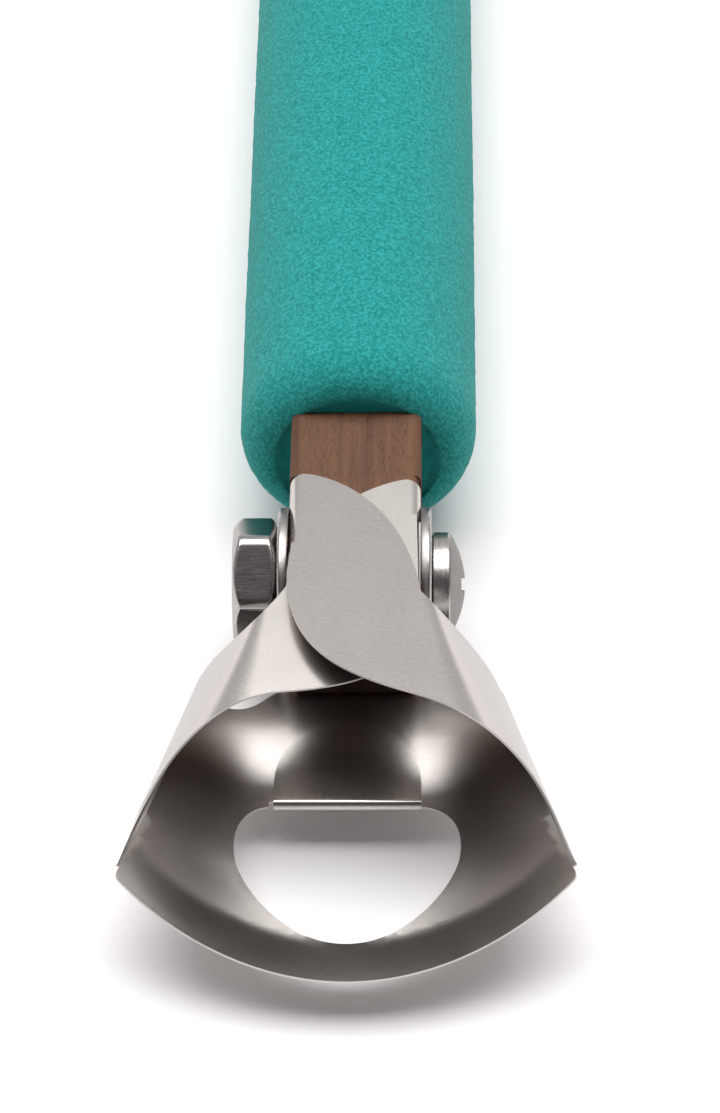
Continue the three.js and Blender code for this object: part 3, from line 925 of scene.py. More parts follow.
@dataclass
class FoamGrip:
    """The foam tube: rounded, slightly dished ends, a square bore and an uneven skin."""

    edge_length: float = 3.4
    edge_depth: float = 2.6
    dish: float = 0.2
    bore_clearance: float = 0.03
    bar_side: float = 9.525
    bore_round: float = 0.6
    sides: int = 240
    step: float = 0.3
    swell: float = 0.05
    swell_grain: tuple[float, float] = (0.16, 0.07)
    pits: float = 0.045
    pit_grain: tuple[float, float] = (1.3, 2.6)
    fine_share: float = 0.6
    end_rough: float = 0.05
    end_grain: float = 1.1
    edge_steps: int = 22
    face_steps: int = 7
    bore_steps: int = 12

    def bore(self, angle: float) -> float:
        """Measures the square bore.

        Args:
            angle: A direction from the axis.

        Returns:
            How far the bore's wall lies from the axis in that direction.
        """
        half = self.bar_side / 2 + self.bore_clearance
        straight = half / max(abs(math.cos(angle)), abs(math.sin(angle)))
        corner = half - self.bore_round
        c, s = abs(math.cos(angle)), abs(math.sin(angle))
        reach = corner * (c + s) + math.sqrt(
            max(0.0, (corner * (c + s)) ** 2 - 2 * corner**2 + self.bore_round**2)
        )
        return min(straight, reach)

    def end_profile(self, radius: float) -> list[tuple[float, float]]:
        """The rounded end, from the tube's side round to the flat face.

        Args:
            radius: The tube's radius.

        Returns:
            Pairs of the distance in from the end and the distance from the axis.
        """
        shoulder = radius - self.edge_depth
        points = []
        for i in range(self.edge_steps + 1):
            a = math.pi / 2 * i / self.edge_steps
            inward = self.edge_length * (1 - math.sin(a))
            points.append((inward, shoulder + self.edge_depth * math.cos(a)))
        return points

    def build(self, skin_foam: bpy.types.Material, cut_foam: bpy.types.Material) -> bpy.types.Object:
        """Builds and dresses the grip.

        Args:
            skin_foam: The material of its outside.
            cut_foam: The material of its two cut ends.

        Returns:
            The grip.
        """
        low, high = (Vector(c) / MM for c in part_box("foam_grip"))
        radius = (high.x - low.x) / 2
        axis = high.z - radius
        front, back = low.y, high.y
        angles = turns(self.sides)
        rim = self.end_profile(radius)
        length = back - front - 2 * self.edge_length
        along = np.linspace(0.0, length, round(length / self.step) + 1)
        near = [(front + y, r) for y, r in reversed(rim)]
        middle = [(front + self.edge_length + t, radius) for t in along[1:-1]]
        far = [(back - y, r) for y, r in rim]
        rows: Grid = [[self._skin_point(y, r, a, axis) for a in angles] for y, r in near + middle + far]
        rows += self._end_face(back, -1, rim[-1][1], angles, axis)
        for y in np.linspace(back - self.dish, front + self.dish, self.bore_steps):
            reach = [(a, self.bore(a)) for a in angles]
            rows.append([Vector((r * math.cos(a), y, axis + r * math.sin(a))) for a, r in reach])
        rows += reversed(self._end_face(front, 1, rim[-1][1], angles, axis))
        skin = Skin()
        skin.grid(rows + [rows[0]], around=True)
        grip = skin.build("foam_tube", Matrix.Identity(4), weld=1e-3)
        settle(grip, 60.0)
        cut_radius = rim[-1][1] - self.swell
        paint(grip, (skin_foam, cut_foam), lambda p: math.hypot(p.x, p.z - axis) < cut_radius)
        return dress(grip, "handle", "foam_grip")

    def _skin_point(self, y: float, r: float, angle: float, axis: float) -> Vector:
        """A point of the skin, with the foam's swells and pits.

        Args:
            y: Its place along the tool.
            r: The even tube's distance from the axis there.
            angle: Its direction from the axis.
            axis: The height of the axis.

        Returns:
            The point, never below the surface that the tool lies on.
        """
        x, z = r * math.cos(angle), r * math.sin(angle)
        across, along = self.swell_grain
        slow = noise.noise(Vector((x * across, y * along, z * across)))
        coarse, fine = (noise.noise(Vector((x, y, z)) * grain) for grain in self.pit_grain)
        quick = coarse + self.fine_share * fine
        out = r - self.swell + self.swell * slow + self.pits * (quick - 1.0)
        height = axis + out * math.sin(angle)
        return Vector((out * math.cos(angle), y, max(height, 0.0)))

    def _end_face(
        self, end: float, inward: int, rim: float, angles: Sequence[float], axis: float
    ) -> Grid:
        """The dished face round the bar, from the rim in to the bore.

        Args:
            end: The rim's place along the tool.
            inward: 1 or -1, the way into the foam.
            rim: The rim's distance from the axis.
            angles: The directions of a ring's points.
            axis: The height of the axis.

        Returns:
            Rings from the rim to the bore.
        """
        rings: Grid = []
        for i in range(1, self.face_steps):
            t = i / self.face_steps
            row = []
            for a in angles:
                r = rim - self.swell + (self.bore(a) - rim + self.swell) * t
                at = Vector((r * math.cos(a), end, r * math.sin(a)))
                rough = self.end_rough * noise.noise(at * self.end_grain)
                y = end + inward * (self.dish * ease(min(1.0, t * 1.5)) + rough * t * (1 - t) * 4)
                row.append(Vector((r * math.cos(a), y, axis + r * math.sin(a))))
            rings.append(row)
        return rings


@dataclass
class ArmShape:
    """One arm's own sizes: its front rim, its back edge and the front of its tongue.

    The bulge and bow values place each edge's handle near the fold, and the sweep values place
    the one near the bar. The spring is how far the arm rises for each millimetre of its reach.
    """

    rim_bulge_half: float
    rim_bulge_reach: float
    rim_bulge_height: float
    rim_sweep_half: float
    rim_sweep_reach: float
    rim_bar_reach: float
    back_bow_half: float
    back_bow: float
    back_rise: float
    back_sweep_half: float
    back_sweep_reach: float
    back_sweep_sag: float
    tip_reach: float
    cheek_reach: float
    spring: float = 0.0


@dataclass
class TongueShape:
    """The flat part of an arm that crosses the bar, and the neck of its ear."""

    side: int
    level: int
    arm_back_reach: float
    edge_front_reach: float
    edge_half: float
    neck_front: float
    neck_half: float
    neck_back: float
    crown_back: float
    heel_back: float
    heel_half: float
    back_bend: float


UPPER_TONGUE = TongueShape(
    side=1,
    level=1,
    arm_back_reach=5.5,
    edge_front_reach=3.6,
    edge_half=4.68,
    neck_front=0.75,
    neck_half=4.43,
    neck_back=6.1,
    crown_back=6.45,
    heel_back=5.6,
    heel_half=3.1,
    back_bend=6.1,
)
LOWER_TONGUE = TongueShape(
    side=-1,
    level=0,
    arm_back_reach=4.9,
    edge_front_reach=7.0,
    edge_half=4.6,
    neck_front=-2.2,
    neck_half=4.45,
    neck_back=5.7,
    crown_back=6.1,
    heel_back=4.3,
    heel_half=3.6,
    back_bend=7.2,
)


@dataclass
class FoldedBlade:
    """One head, folded from a single sheet: a troughed panel with a window and a turned-back
    flap, and two arms that rise from its sides, cross over the bar and end in round ears.

    A half is measured from the middle to one side, a reach forward from the screw, a back
    behind the screw, and a height up from the bar's axis. Each arm is laid out as the
    right-hand one and mirrored where it is the left-hand one.
    """

    end: End
    corner_half: float
    corner_reach: float
    corner_height: float
    front_reach: float
    fold_back_half: float
    fold_back_height: float
    window_half: float
    window_back_half: float
    window_back_reach: float
    window_wide_reach: float
    front_band: float
    window_shift: float
    flap_half: float
    flap_length: float
    flap_shift: float
    upper: ArmShape
    lower: ArmShape
    fold_back_reach: float = 7.7
    corner_blunt: float = 0.8
    sheet: float = 0.15
    gap: float = 0.03
    bar_half: float = 9.525 / 2
    bar_edge_radius: float = 0.6
    seat_depth: float = 0.22
    ear_radius: float = 4.4
    ear_shoulder: float = 30.0
    ear_hole: float = 2.3
    neck_corner: float = 0.5
    tip_half: float = 0.6
    hem_radius: float = 0.42
    hem_relief: float = 0.35
    hem_end: float = 0.05
    relief_depth: float = 0.45
    relief_tip: float = 0.5
    window_shoulder: float = 0.4
    window_bulge: float = 0.35
    window_draw: float = 0.6
    window_bow: float = 0.4
    window_blunt: float = 0.52
    flap_straight: float = 0.2
    tail_inset: float = 0.46
    tail_back: float = 4.6
    tail_undercut: float = 0.9
    tail_step: float = 1.1
    tail_straight: float = 4.0
    bend: float = 0.28
    lip_sink: float = 0.8
    lip_back: float = 24.0
    lip_flat: float = 6.8
    lip_half: float = 17.0
    panel_shift: float = 0.0
    true_reach: float = 2.0
    spring_back: float = 6.5
    rim_bend_half: float = 8.8
    back_clear: float = 6.7
    bend_softness: float = 0.28
    rim_sag: float = 0.2
    ruling_ease: float = 0.5
    corner_round: float = 0.5
    corner_cut: float = 0.25
    corner_bow: float = 0.6
    edge_round: float = 0.05
    fine: float = 0.25
    spacing: float = 0.5
    fold_steps: int = 64
    flank_steps: int = 56
    neck_steps: int = 28
    bend_steps: int = 8
    corner_steps: int = 8
    tail_steps: tuple[int, int, int] = (18, 16, 26)
    window_steps: tuple[int, int] = (34, 40)
    flap_steps: int = 30
    tongue_steps: int = 70
    heel_steps: int = 60
    hem_turn_steps: int = 14
    ear_steps: int = 90
    ear_hole_steps: int = 48
    trace_steps: int = 400

    def __post_init__(self) -> None:
        """Works out the levels that the sheet lies at."""
        self.seat = self.bar_half + self.gap
        self.mid = self.seat + self.sheet / 2
        self.levels = (self.mid, self.mid + self.sheet + self.gap)
        self.ear_mid = self.bar_half - self.seat_depth + self.gap + self.sheet / 2
        self.bend_half = self.bar_half - self.seat_depth - self.bar_edge_radius
        self.bend_height = self.bar_half - self.bar_edge_radius
        self.tail_half = self.bar_half - self.tail_inset
        self.hem_line = -self.window_back_reach + self.hem_radius
        self.hem_left = max(
            self.flap_shift - self.flap_half, self.window_shift - self.window_back_half
        )
        self.hem_right = min(
            self.flap_shift + self.flap_half, self.window_shift + self.window_back_half
        )

    def fold_at(self, reach: float) -> Vector:
        """Finds a point of the right-hand fold.

        Args:
            reach: Its distance ahead of the screw.

        Returns:
            The point.
        """
        t = (reach - self.fold_back_reach) / (self.corner_reach - self.fold_back_reach)
        half = self.fold_back_half + (self.corner_half - self.fold_back_half) * t
        height = self.fold_back_height + (self.corner_height - self.fold_back_height) * t
        return Vector((half, -reach, height))

    def panel_height(self, x: float, y: float) -> float:
        """Measures the troughed panel.

        Args:
            x: A place across it, in plan.
            y: The same place along it.

        Returns:
            The panel's height there.
        """
        reach = max(-y, self.fold_back_reach)
        fold = self.fold_at(reach)
        widened = ramp(reach, self.fold_back_reach, -self.hem_line)
        flat = self.seat + (self.hem_right - self.seat) * widened
        flat *= 1 - ramp(reach, -self.hem_line, self.front_reach)
        out = max(0.0, abs(x) - flat) / (fold.x - flat)
        return -self.mid + (fold.z + self.mid) * out * out

    def shifted(self, point: Vector) -> Vector:
        """A point moved sideways with the panel, which doesn't sit quite true on the bar."""
        share = ramp(-point.y, self.true_reach, self.fold_back_reach)
        return point + Vector((self.panel_shift * share, 0.0, 0.0))

    def sink(self, x: float, y: float) -> float:
        """Measures how far the panel sinks behind its upturned front lip.

        Args:
            x: A place across it, in plan.
            y: The same place along it.

        Returns:
            The depth there, along the line of sight.
        """
        rise = self.front_reach - self.corner_reach
        radius = (self.corner_half**2 + rise**2) / (2 * rise)
        behind = max(0.0, radius - math.hypot(x, y + self.front_reach - radius))
        lip = min(1.0, behind / self.front_band) * (1 - ramp(behind, self.front_band, self.lip_back))
        return self.lip_sink * lip * (1 - ramp(abs(x), self.lip_flat, self.lip_half))

    def on_panel(self, x: float, y: float) -> Vector:
        """A point in plan, lifted onto the panel."""
        sunk = self.sink(x, y)
        return self.shifted(Vector((x, y + sunk, self.panel_height(x, y) - sunk * SIGHT_DROP)))

    def rim(self, arm: ArmShape, top: float, side: int) -> list[Vector]:
        """Lays out an arm's front rim, mirrored to the right-hand side.

        Args:
            arm: The arm's sizes.
            top: The height of its tongue's middle surface.
            side: 1 for the right-hand arm and -1 for the left-hand one.

        Returns:
            The rim's start, handles and end.
        """
        start = self.fold_at(self.corner_reach - self.corner_blunt)
        start.x += side * self.panel_shift
        return [
            start,
            Vector((arm.rim_bulge_half, -arm.rim_bulge_reach, arm.rim_bulge_height)),
            Vector((arm.rim_sweep_half, -arm.rim_sweep_reach, top - self.rim_sag)),
            Vector((self.bar_half, -arm.rim_bar_reach, top)),
        ]

    def back_edge(self, arm: ArmShape, tongue: TongueShape, top: float) -> list[Vector]:
        """Lays out an arm's back edge, mirrored to the right-hand side.

        Args:
            arm: The arm's sizes.
            tongue: Its tongue's sizes.
            top: The height of the tongue's middle surface.

        Returns:
            The edge's start, handles and end.
        """
        start = self.fold_at(self.fold_back_reach)
        start.x += tongue.side * self.panel_shift
        return [
            start,
            Vector((arm.back_bow_half, start.y - arm.back_bow, start.z + arm.back_rise)),
            Vector((arm.back_sweep_half, -arm.back_sweep_reach, top - arm.back_sweep_sag)),
            Vector((self.bar_half, -tongue.arm_back_reach, top)),
        ]

    def sprung(self, point: Vector, arm: ArmShape, share: float = 1.0) -> Vector:
        """A point of an arm that leans up off the bar towards the front.

        Args:
            point: The point on the arm that lies flat.
            arm: The arm's sizes.
            share: How much of the spring it takes, from 0 at the fold to 1 at the bar.

        Returns:
            The point, raised and drawn forward.
        """
        lift = arm.spring * share * max(0.0, self.spring_back - point.y)
        return point + Vector((0.0, -SIGHT_RUN * lift, lift))

    def squared(self, point: Vector, foot: Vector, tongue: TongueShape, back: float) -> Vector:
        """A point of an arm, moved so that the arm is straight from the fold to its soft bend.

        Args:
            point: The point on an evenly curved arm.
            foot: The fold's point below it.
            tongue: The tongue's sizes.
            back: 0 at the arm's rim and 1 at its back edge.

        Returns:
            The point, raised or lowered along the line of sight of the photograph.
        """
        bend_half = self.rim_bend_half + (tongue.back_bend - self.rim_bend_half) * back
        risen = soft_least((foot.x - point.x) / (foot.x - bend_half), 1.0, self.bend_softness)
        rise = (self.levels[tongue.level] - foot.z) * max(0.0, risen) + foot.z - point.z
        reach = min(point.y - SIGHT_RUN * rise, max(point.y, -self.back_clear))
        return Vector((point.x, reach, point.z + rise))

    def flank(self, arm: ArmShape, tongue: TongueShape, top: float) -> Grid:
        """The arm from just above its fold to the bar's edge, on the right-hand side.

        Args:
            arm: The arm's sizes.
            tongue: Its tongue's sizes.
            top: The height of the tongue's middle surface.

        Returns:
            Rows of points from the fold to the bar. The first rows are the bend.
        """
        rim = self.rim(arm, top, tongue.side)
        back = self.back_edge(arm, tongue, top)
        # The flank starts where the bend's length is used up along the rim.
        traced = curve(rim, self.trace_steps)
        length = 0.0
        step = 0
        while length < self.bend:
            length += (traced[step + 1] - traced[step]).length
            step += 1
        t_begin = step / self.trace_steps
        corner = line(rim[0], back[0], self.fold_steps)
        rows: Grid = []
        for i in range(self.flank_steps + 1):
            t = t_begin + (1 - t_begin) * i / self.flank_steps
            share = t + (ease(t) - t) * self.ruling_ease
            ruling = line(curve_at(rim, t), curve_at(back, share), self.fold_steps)
            ruling = [
                self.squared(p, foot, tongue, j / self.fold_steps)
                for j, (p, foot) in enumerate(zip(ruling, corner))
            ]
            rows.append([self.sprung(p, arm, ease(t)) for p in ruling])
        inner = [Vector((p.x * tongue.side, p.y, p.z)) for p in self.fold_inner(tongue.side)]
        bend_rows: Grid = []
        for k in range(self.bend_steps):
            s = k / self.bend_steps
            bend_rows.append(
                [
                    a * (1 - s) ** 2 + b * (2 * s * (1 - s)) + c * s * s
                    for a, b, c in zip(inner, corner, rows[0])
                ]
            )
        return bend_rows + rows

    def fold_plan(self) -> list[Vector]:
        """Lays out the panel's edge beside the right-hand bend, in plan.

        Returns:
            Points from the rim's end to the back.
        """
        start = self.fold_at(self.corner_reach - self.corner_blunt)
        end = self.fold_at(self.fold_back_reach)
        return [Vector((p.x - self.bend, p.y)) for p in line(start, end, self.fold_steps)]

    def fold_inner(self, side: int) -> list[Vector]:
        """The panel's edge beside one bend, from the rim's end to the back."""
        return [self.on_panel(side * p.x, p.y) for p in self.fold_plan()]

    def panel_outline(self) -> Outline:
        """Lays out the panel in plan.

        Returns:
            Points counterclockwise from its left corner.
        """
        corner = self.fold_at(self.corner_reach)
        rise = self.front_reach - self.corner_reach
        radius = (corner.x**2 + rise**2) / (2 * rise)
        middle = Vector((0.0, -self.front_reach + radius))
        sweep = math.asin(corner.x / radius)
        arc_steps = round(2 * sweep * radius / self.fine)
        arc = []
        for i in range(arc_steps + 1):
            a = -math.pi / 2 - sweep + 2 * sweep * i / arc_steps
            arc.append(middle + Vector((math.cos(a), math.sin(a))) * radius)
        tip = Vector((corner.x, corner.y))
        inner = self.fold_plan()
        rim_start = inner[0]
        before = arc[-1] + (arc[-2] - arc[-1]).normalized() * self.corner_round
        cut_tip = tip.lerp(rim_start, self.corner_cut)
        handles = [start.lerp(cut_tip, self.corner_bow) for start in (before, rim_start)]
        rounding = curve([before, *handles, rim_start], self.corner_steps)
        # Behind the fold the sheet steps in under the bar and ends in a rounded tail.
        back = inner[-1]
        notch = back.x - self.tail_half
        step = self.tail_step
        tail = [
            Vector((back.x - notch / 4, back.y - self.tail_undercut)),
            Vector((back.x - notch / 2, back.y - self.tail_undercut)),
            Vector((self.tail_half + notch / 4, back.y + step)),
            Vector((self.tail_half, back.y + step * 2)),
            Vector((self.tail_half, back.y + step * 3)),
            Vector((self.tail_half, back.y + self.tail_straight)),
            Vector((self.tail_half, self.tail_back - self.tail_half)),
            Vector((self.tail_half, self.tail_back)),
            Vector((0.0, self.tail_back)),
        ]
        right = joined(
            [p for p in arc if p.x >= 0.0 and (p - tip).length > self.corner_round],
            rounding,
            inner,
            curve([back, *tail[:3]], self.tail_steps[0]),
            curve([tail[2], *tail[3:6]], self.tail_steps[1]),
            curve([tail[5], *tail[6:9]], self.tail_steps[2]),
        )
        left = [Vector((-p.x, p.y)) for p in reversed(right) if p.x > 1e-6]
        return joined(right, left)

    def window_outline(self) -> Outline:
        """Lays out the window in plan, with a relief at the left end of its hem.

        Returns:
            Points round the window. Its back edge runs along the hem.
        """
        shift = self.window_shift
        y = self.hem_line
        wide = -self.window_wide_reach
        front = -(self.front_reach - self.front_band)
        spread = self.window_half - self.window_back_half

        def half(sign: int, start: float) -> list[Vector]:
            """Lays out one side of the window.

            Args:
                sign: 1 for the right-hand side and -1 for the left-hand one.
                start: Where its back corner lies across the window.

            Returns:
                Points from the back corner to the middle of the front.
            """
            reach = [
                (self.window_back_half + spread, y - self.window_shoulder),
                (self.window_half + self.window_bulge, wide + (y - wide) * self.window_bow),
                (self.window_half, wide),
                (self.window_half - self.window_draw, wide + (front - wide) * self.window_bow),
                (self.window_half * self.window_blunt, front),
                (0.0, front),
            ]
            points = [Vector((start, y))] + [Vector((shift + sign * x, v)) for x, v in reach]
            back_steps, front_steps = self.window_steps
            return curve(points[:4], back_steps)[:-1] + curve(points[3:7], front_steps)

        left = min(self.hem_left - self.hem_relief, shift - self.window_back_half)
        right = max(self.hem_right + self.hem_end, shift + self.window_back_half)
        back = line(Vector((self.hem_left, y)), Vector((self.hem_right, y)), self.hem_steps)
        notch = [Vector((left, y + self.relief_depth)), Vector((self.hem_left, y + self.relief_tip))]
        return joined(
            [Vector((left, y)), *notch, *back],
            [Vector((right, y))],
            half(1, right),
            list(reversed(half(-1, left))),
        )

    @property
    def hem_steps(self) -> int:
        """The number of steps along the hem."""
        return round((self.hem_right - self.hem_left) / self.fine)

    def add_flap(self, skin: Skin) -> None:
        """Adds the hem's half turn and the D-shaped flap that it carries.

        Args:
            skin: What they are added to.
        """
        ends = (Vector((self.hem_left, self.hem_line)), Vector((self.hem_right, self.hem_line)))
        along = line(*ends, self.hem_steps)
        rows: Grid = []
        for i in range(self.hem_turn_steps + 1):
            a = math.pi * i / self.hem_turn_steps
            out = self.hem_radius * math.sin(a)
            up = self.hem_radius * (1 - math.cos(a))
            rows.append([self.on_panel(p.x, p.y) + Vector((0, -out, up)) for p in along])
        skin.grid(rows)
        tip = self.hem_line + self.flap_length
        straight = self.hem_line + self.flap_length * self.flap_straight
        middle = (self.hem_left + self.hem_right) / 2
        half = (self.hem_right - self.hem_left) / 2
        bow = ARC_HANDLE
        side = straight + (tip - straight) * bow
        right = [
            Vector((middle + half, straight)),
            Vector((middle + half, side)),
            Vector((middle + half * bow, tip)),
            Vector((middle, tip)),
        ]
        rounding = curve(right, self.flap_steps)
        outline = joined(
            along,
            line(along[-1], right[0], 6),
            rounding,
            [Vector((2 * middle - p.x, p.y)) for p in reversed(rounding)],
            line(Vector((middle - half, straight)), along[0], 6),
        )
        raised = Vector((0, 0, 2 * self.hem_radius))
        skin.patch(outline, [], self.spacing, lambda x, y: self.on_panel(x, y) + raised)

    def add_arm(self, skin: Skin, arm: ArmShape, tongue: TongueShape) -> None:
        """Adds one arm: its bend and flank, its tongue, the neck's quarter turn and the ear.

        Args:
            skin: What it is added to.
            arm: The arm's sizes.
            tongue: Its tongue's sizes.
        """
        top = self.levels[tongue.level]
        side = Vector((tongue.side, 1.0, 1.0))
        rows = self.flank(arm, tongue, top)
        skin.grid([[p * side for p in row] for row in rows])
        bar_edge = [Vector((self.bar_half, -y)) for y in (arm.rim_bar_reach, tongue.arm_back_reach)]
        near = line(*bar_edge, self.fold_steps)
        edge = Vector((-tongue.edge_half, -tongue.edge_front_reach))
        cheek = Vector((-tongue.edge_half, -arm.cheek_reach))
        tip = Vector((self.tip_half, -arm.tip_reach))
        front = curve([near[0], tip, cheek, edge], self.tongue_steps)
        neck_front = Vector((-tongue.neck_half, -tongue.neck_front))
        bend_front = Vector((-self.bend_half, -tongue.neck_front))
        bend_back = Vector((-self.bend_half, tongue.neck_back))
        neck = line(bend_front, bend_back, self.neck_steps)
        crown = Vector((-self.bend_half, tongue.crown_back))
        heel_bow = Vector((tongue.heel_half, tongue.heel_back))
        heel = curve([bend_back, crown, heel_bow, near[-1]], self.heel_steps)
        # Along the bar's edge, round the free front, past the neck and round the heel.
        outline = joined(
            list(reversed(near)),
            front,
            line(front[-1], neck_front, 12),
            line(neck_front, bend_front, 3),
            neck,
            heel,
        )
        skin.patch(
            outline, [], self.spacing, lambda x, y: self.sprung(Vector((x, y, top)), arm) * side
        )
        self._add_ear(skin, tongue, arm, neck, side)

    def _add_ear(
        self, skin: Skin, tongue: TongueShape, arm: ArmShape, neck: list[Vector], side: Vector
    ) -> None:
        """Adds the neck's quarter turn and the ear under it.

        Args:
            skin: What they are added to.
            tongue: The tongue's sizes.
            arm: The arm's sizes.
            neck: The points where the tongue meets the turn.
            side: Mirrors the arm where it is the left-hand one.
        """
        drop = self.levels[tongue.level] - self.bend_height
        reach = self.ear_mid - self.bend_half
        start = neck[0].y
        span = neck[-1].y - start
        rows: Grid = []
        for i in range(self.bend_steps + 1):
            turned = i / self.bend_steps
            x = -self.bend_half - reach * math.sin(math.pi / 2 * turned)
            z = self.bend_height + drop * math.cos(math.pi / 2 * turned)
            kept = (span - self.neck_corner * turned) / span
            row = [Vector((x, start + (p.y - start) * kept, z)) for p in neck]
            rows.append([self.sprung(p, arm, 1 - ease(turned)) for p in row])
        skin.grid([[p * side for p in row] for row in rows])
        shoulder = math.radians(self.ear_shoulder)
        foot = [Vector((p.y, p.z)) for p in rows[-1]]
        arc = []
        for i in range(self.ear_steps + 1):
            a = -(math.pi + shoulder) * i / self.ear_steps
            arc.append(Vector((math.cos(a), math.sin(a))) * self.ear_radius)
        outline = joined(foot, line(foot[-1], arc[0], 10), arc, line(arc[-1], foot[0], 6))
        hole = [Vector((math.cos(a), math.sin(a))) * self.ear_hole for a in turns(self.ear_hole_steps)]
        ear = -self.ear_mid
        skin.patch(outline, [hole], self.spacing, lambda y, z: Vector((ear, y, z)) * side)

    def build(self, finish: bpy.types.Material, edge: bpy.types.Material) -> bpy.types.Object:
        """Builds and dresses the head.

        Args:
            finish: The sheet's material.
            edge: The material of its cut edges.

        Returns:
            The head.
        """
        skin = Skin()
        panel = self.panel_outline()
        skin.patch(panel, [self.window_outline()], self.spacing, self.on_panel)
        self.add_flap(skin)
        self.add_arm(skin, self.upper, UPPER_TONGUE)
        self.add_arm(skin, self.lower, LOWER_TONGUE)
        blade = skin.build(f"{self.end.value}_folded_blade", self.end.place(), weld=2e-3)
        paint(blade, (finish, edge))
        thick = blade.modifiers.new("sheet", "SOLIDIFY")
        thick.material_offset_rim = 1
        thick.thickness = self.sheet * MM
        thick.offset = 0.0
        thick.use_even_offset = False
        burr = blade.modifiers.new("burr", "BEVEL")
        burr.width = self.edge_round * MM
        burr.segments = 2
        burr.material = 1
        burr.limit_method = "ANGLE"
        burr.angle_limit = math.radians(60)
        settle(blade, 20.0)
        return dress(blade, "handle", self.end.node("blade"))


# Taken from the photograph.
WIDE_HEAD = FoldedBlade(
    end=End.WIDE,
    corner_half=15.9,
    corner_reach=26.2,
    corner_height=-0.9,
    front_reach=32.4,
    fold_back_half=10.9,
    fold_back_height=-3.25,
    window_half=7.8,
    window_back_half=5.2,
    window_back_reach=17.4,
    window_wide_reach=22.2,
    front_band=3.1,
    window_shift=-0.05,
    flap_half=5.35,
    flap_length=7.5,
    flap_shift=-0.25,
    panel_shift=-0.35,
    upper=ArmShape(
        rim_bulge_half=14.23,
        rim_bulge_reach=27.1,
        rim_bulge_height=2.5,
        rim_sweep_half=13.1,
        rim_sweep_reach=18.3,
        rim_bar_reach=15.2,
        back_bow_half=9.95,
        back_bow=2.7,
        back_rise=3.4,
        back_sweep_half=10.7,
        back_sweep_reach=12.7,
        back_sweep_sag=1.4,
        tip_reach=13.6,
        cheek_reach=11.9,
        spring=0.085,
    ),
    lower=ArmShape(
        rim_bulge_half=15.38,
        rim_bulge_reach=27.4,
        rim_bulge_height=3.0,
        rim_sweep_half=12.2,
        rim_sweep_reach=15.1,
        rim_bar_reach=14.8,
        back_bow_half=11.6,
        back_bow=1.3,
        back_rise=4.4,
        back_sweep_half=7.9,
        back_sweep_reach=10.0,
        back_sweep_sag=0.5,
        tip_reach=14.4,
        cheek_reach=13.4,
    ),
)

# The photograph doesn't show it.
NARROW_HEAD = FoldedBlade(
    end=End.NARROW,
    corner_half=9.6,
    corner_reach=22.0,
    corner_height=-2.2,
    front_reach=27.4,
    fold_back_half=8.0,
    fold_back_height=-3.9,
    window_half=5.0,
    window_back_half=3.4,
    window_back_reach=15.2,
    window_wide_reach=19.6,
    front_band=2.8,
    window_shift=0.0,
    flap_half=3.4,
    flap_length=4.6,
    flap_shift=0.0,
    rim_bend_half=6.4,
    upper=ArmShape(
        rim_bulge_half=9.01,
        rim_bulge_reach=22.6,
        rim_bulge_height=2.0,
        rim_sweep_half=8.6,
        rim_sweep_reach=15.0,
        rim_bar_reach=13.6,
        back_bow_half=8.0,
        back_bow=1.6,
        back_rise=4.6,
        back_sweep_half=7.2,
        back_sweep_reach=10.0,
        back_sweep_sag=0.9,
        tip_reach=12.2,
        cheek_reach=10.7,
        spring=0.05,
    ),
    lower=ArmShape(
        rim_bulge_half=9.21,
        rim_bulge_reach=22.8,
        rim_bulge_height=2.2,
        rim_sweep_half=8.2,
        rim_sweep_reach=13.6,
        rim_bar_reach=13.4,
        back_bow_half=8.3,
        back_bow=1.2,
        back_rise=4.6,
        back_sweep_half=6.6,
        back_sweep_reach=9.4,
        back_sweep_sag=0.5,
        tip_reach=12.9,
        cheek_reach=11.9,
    ),
)


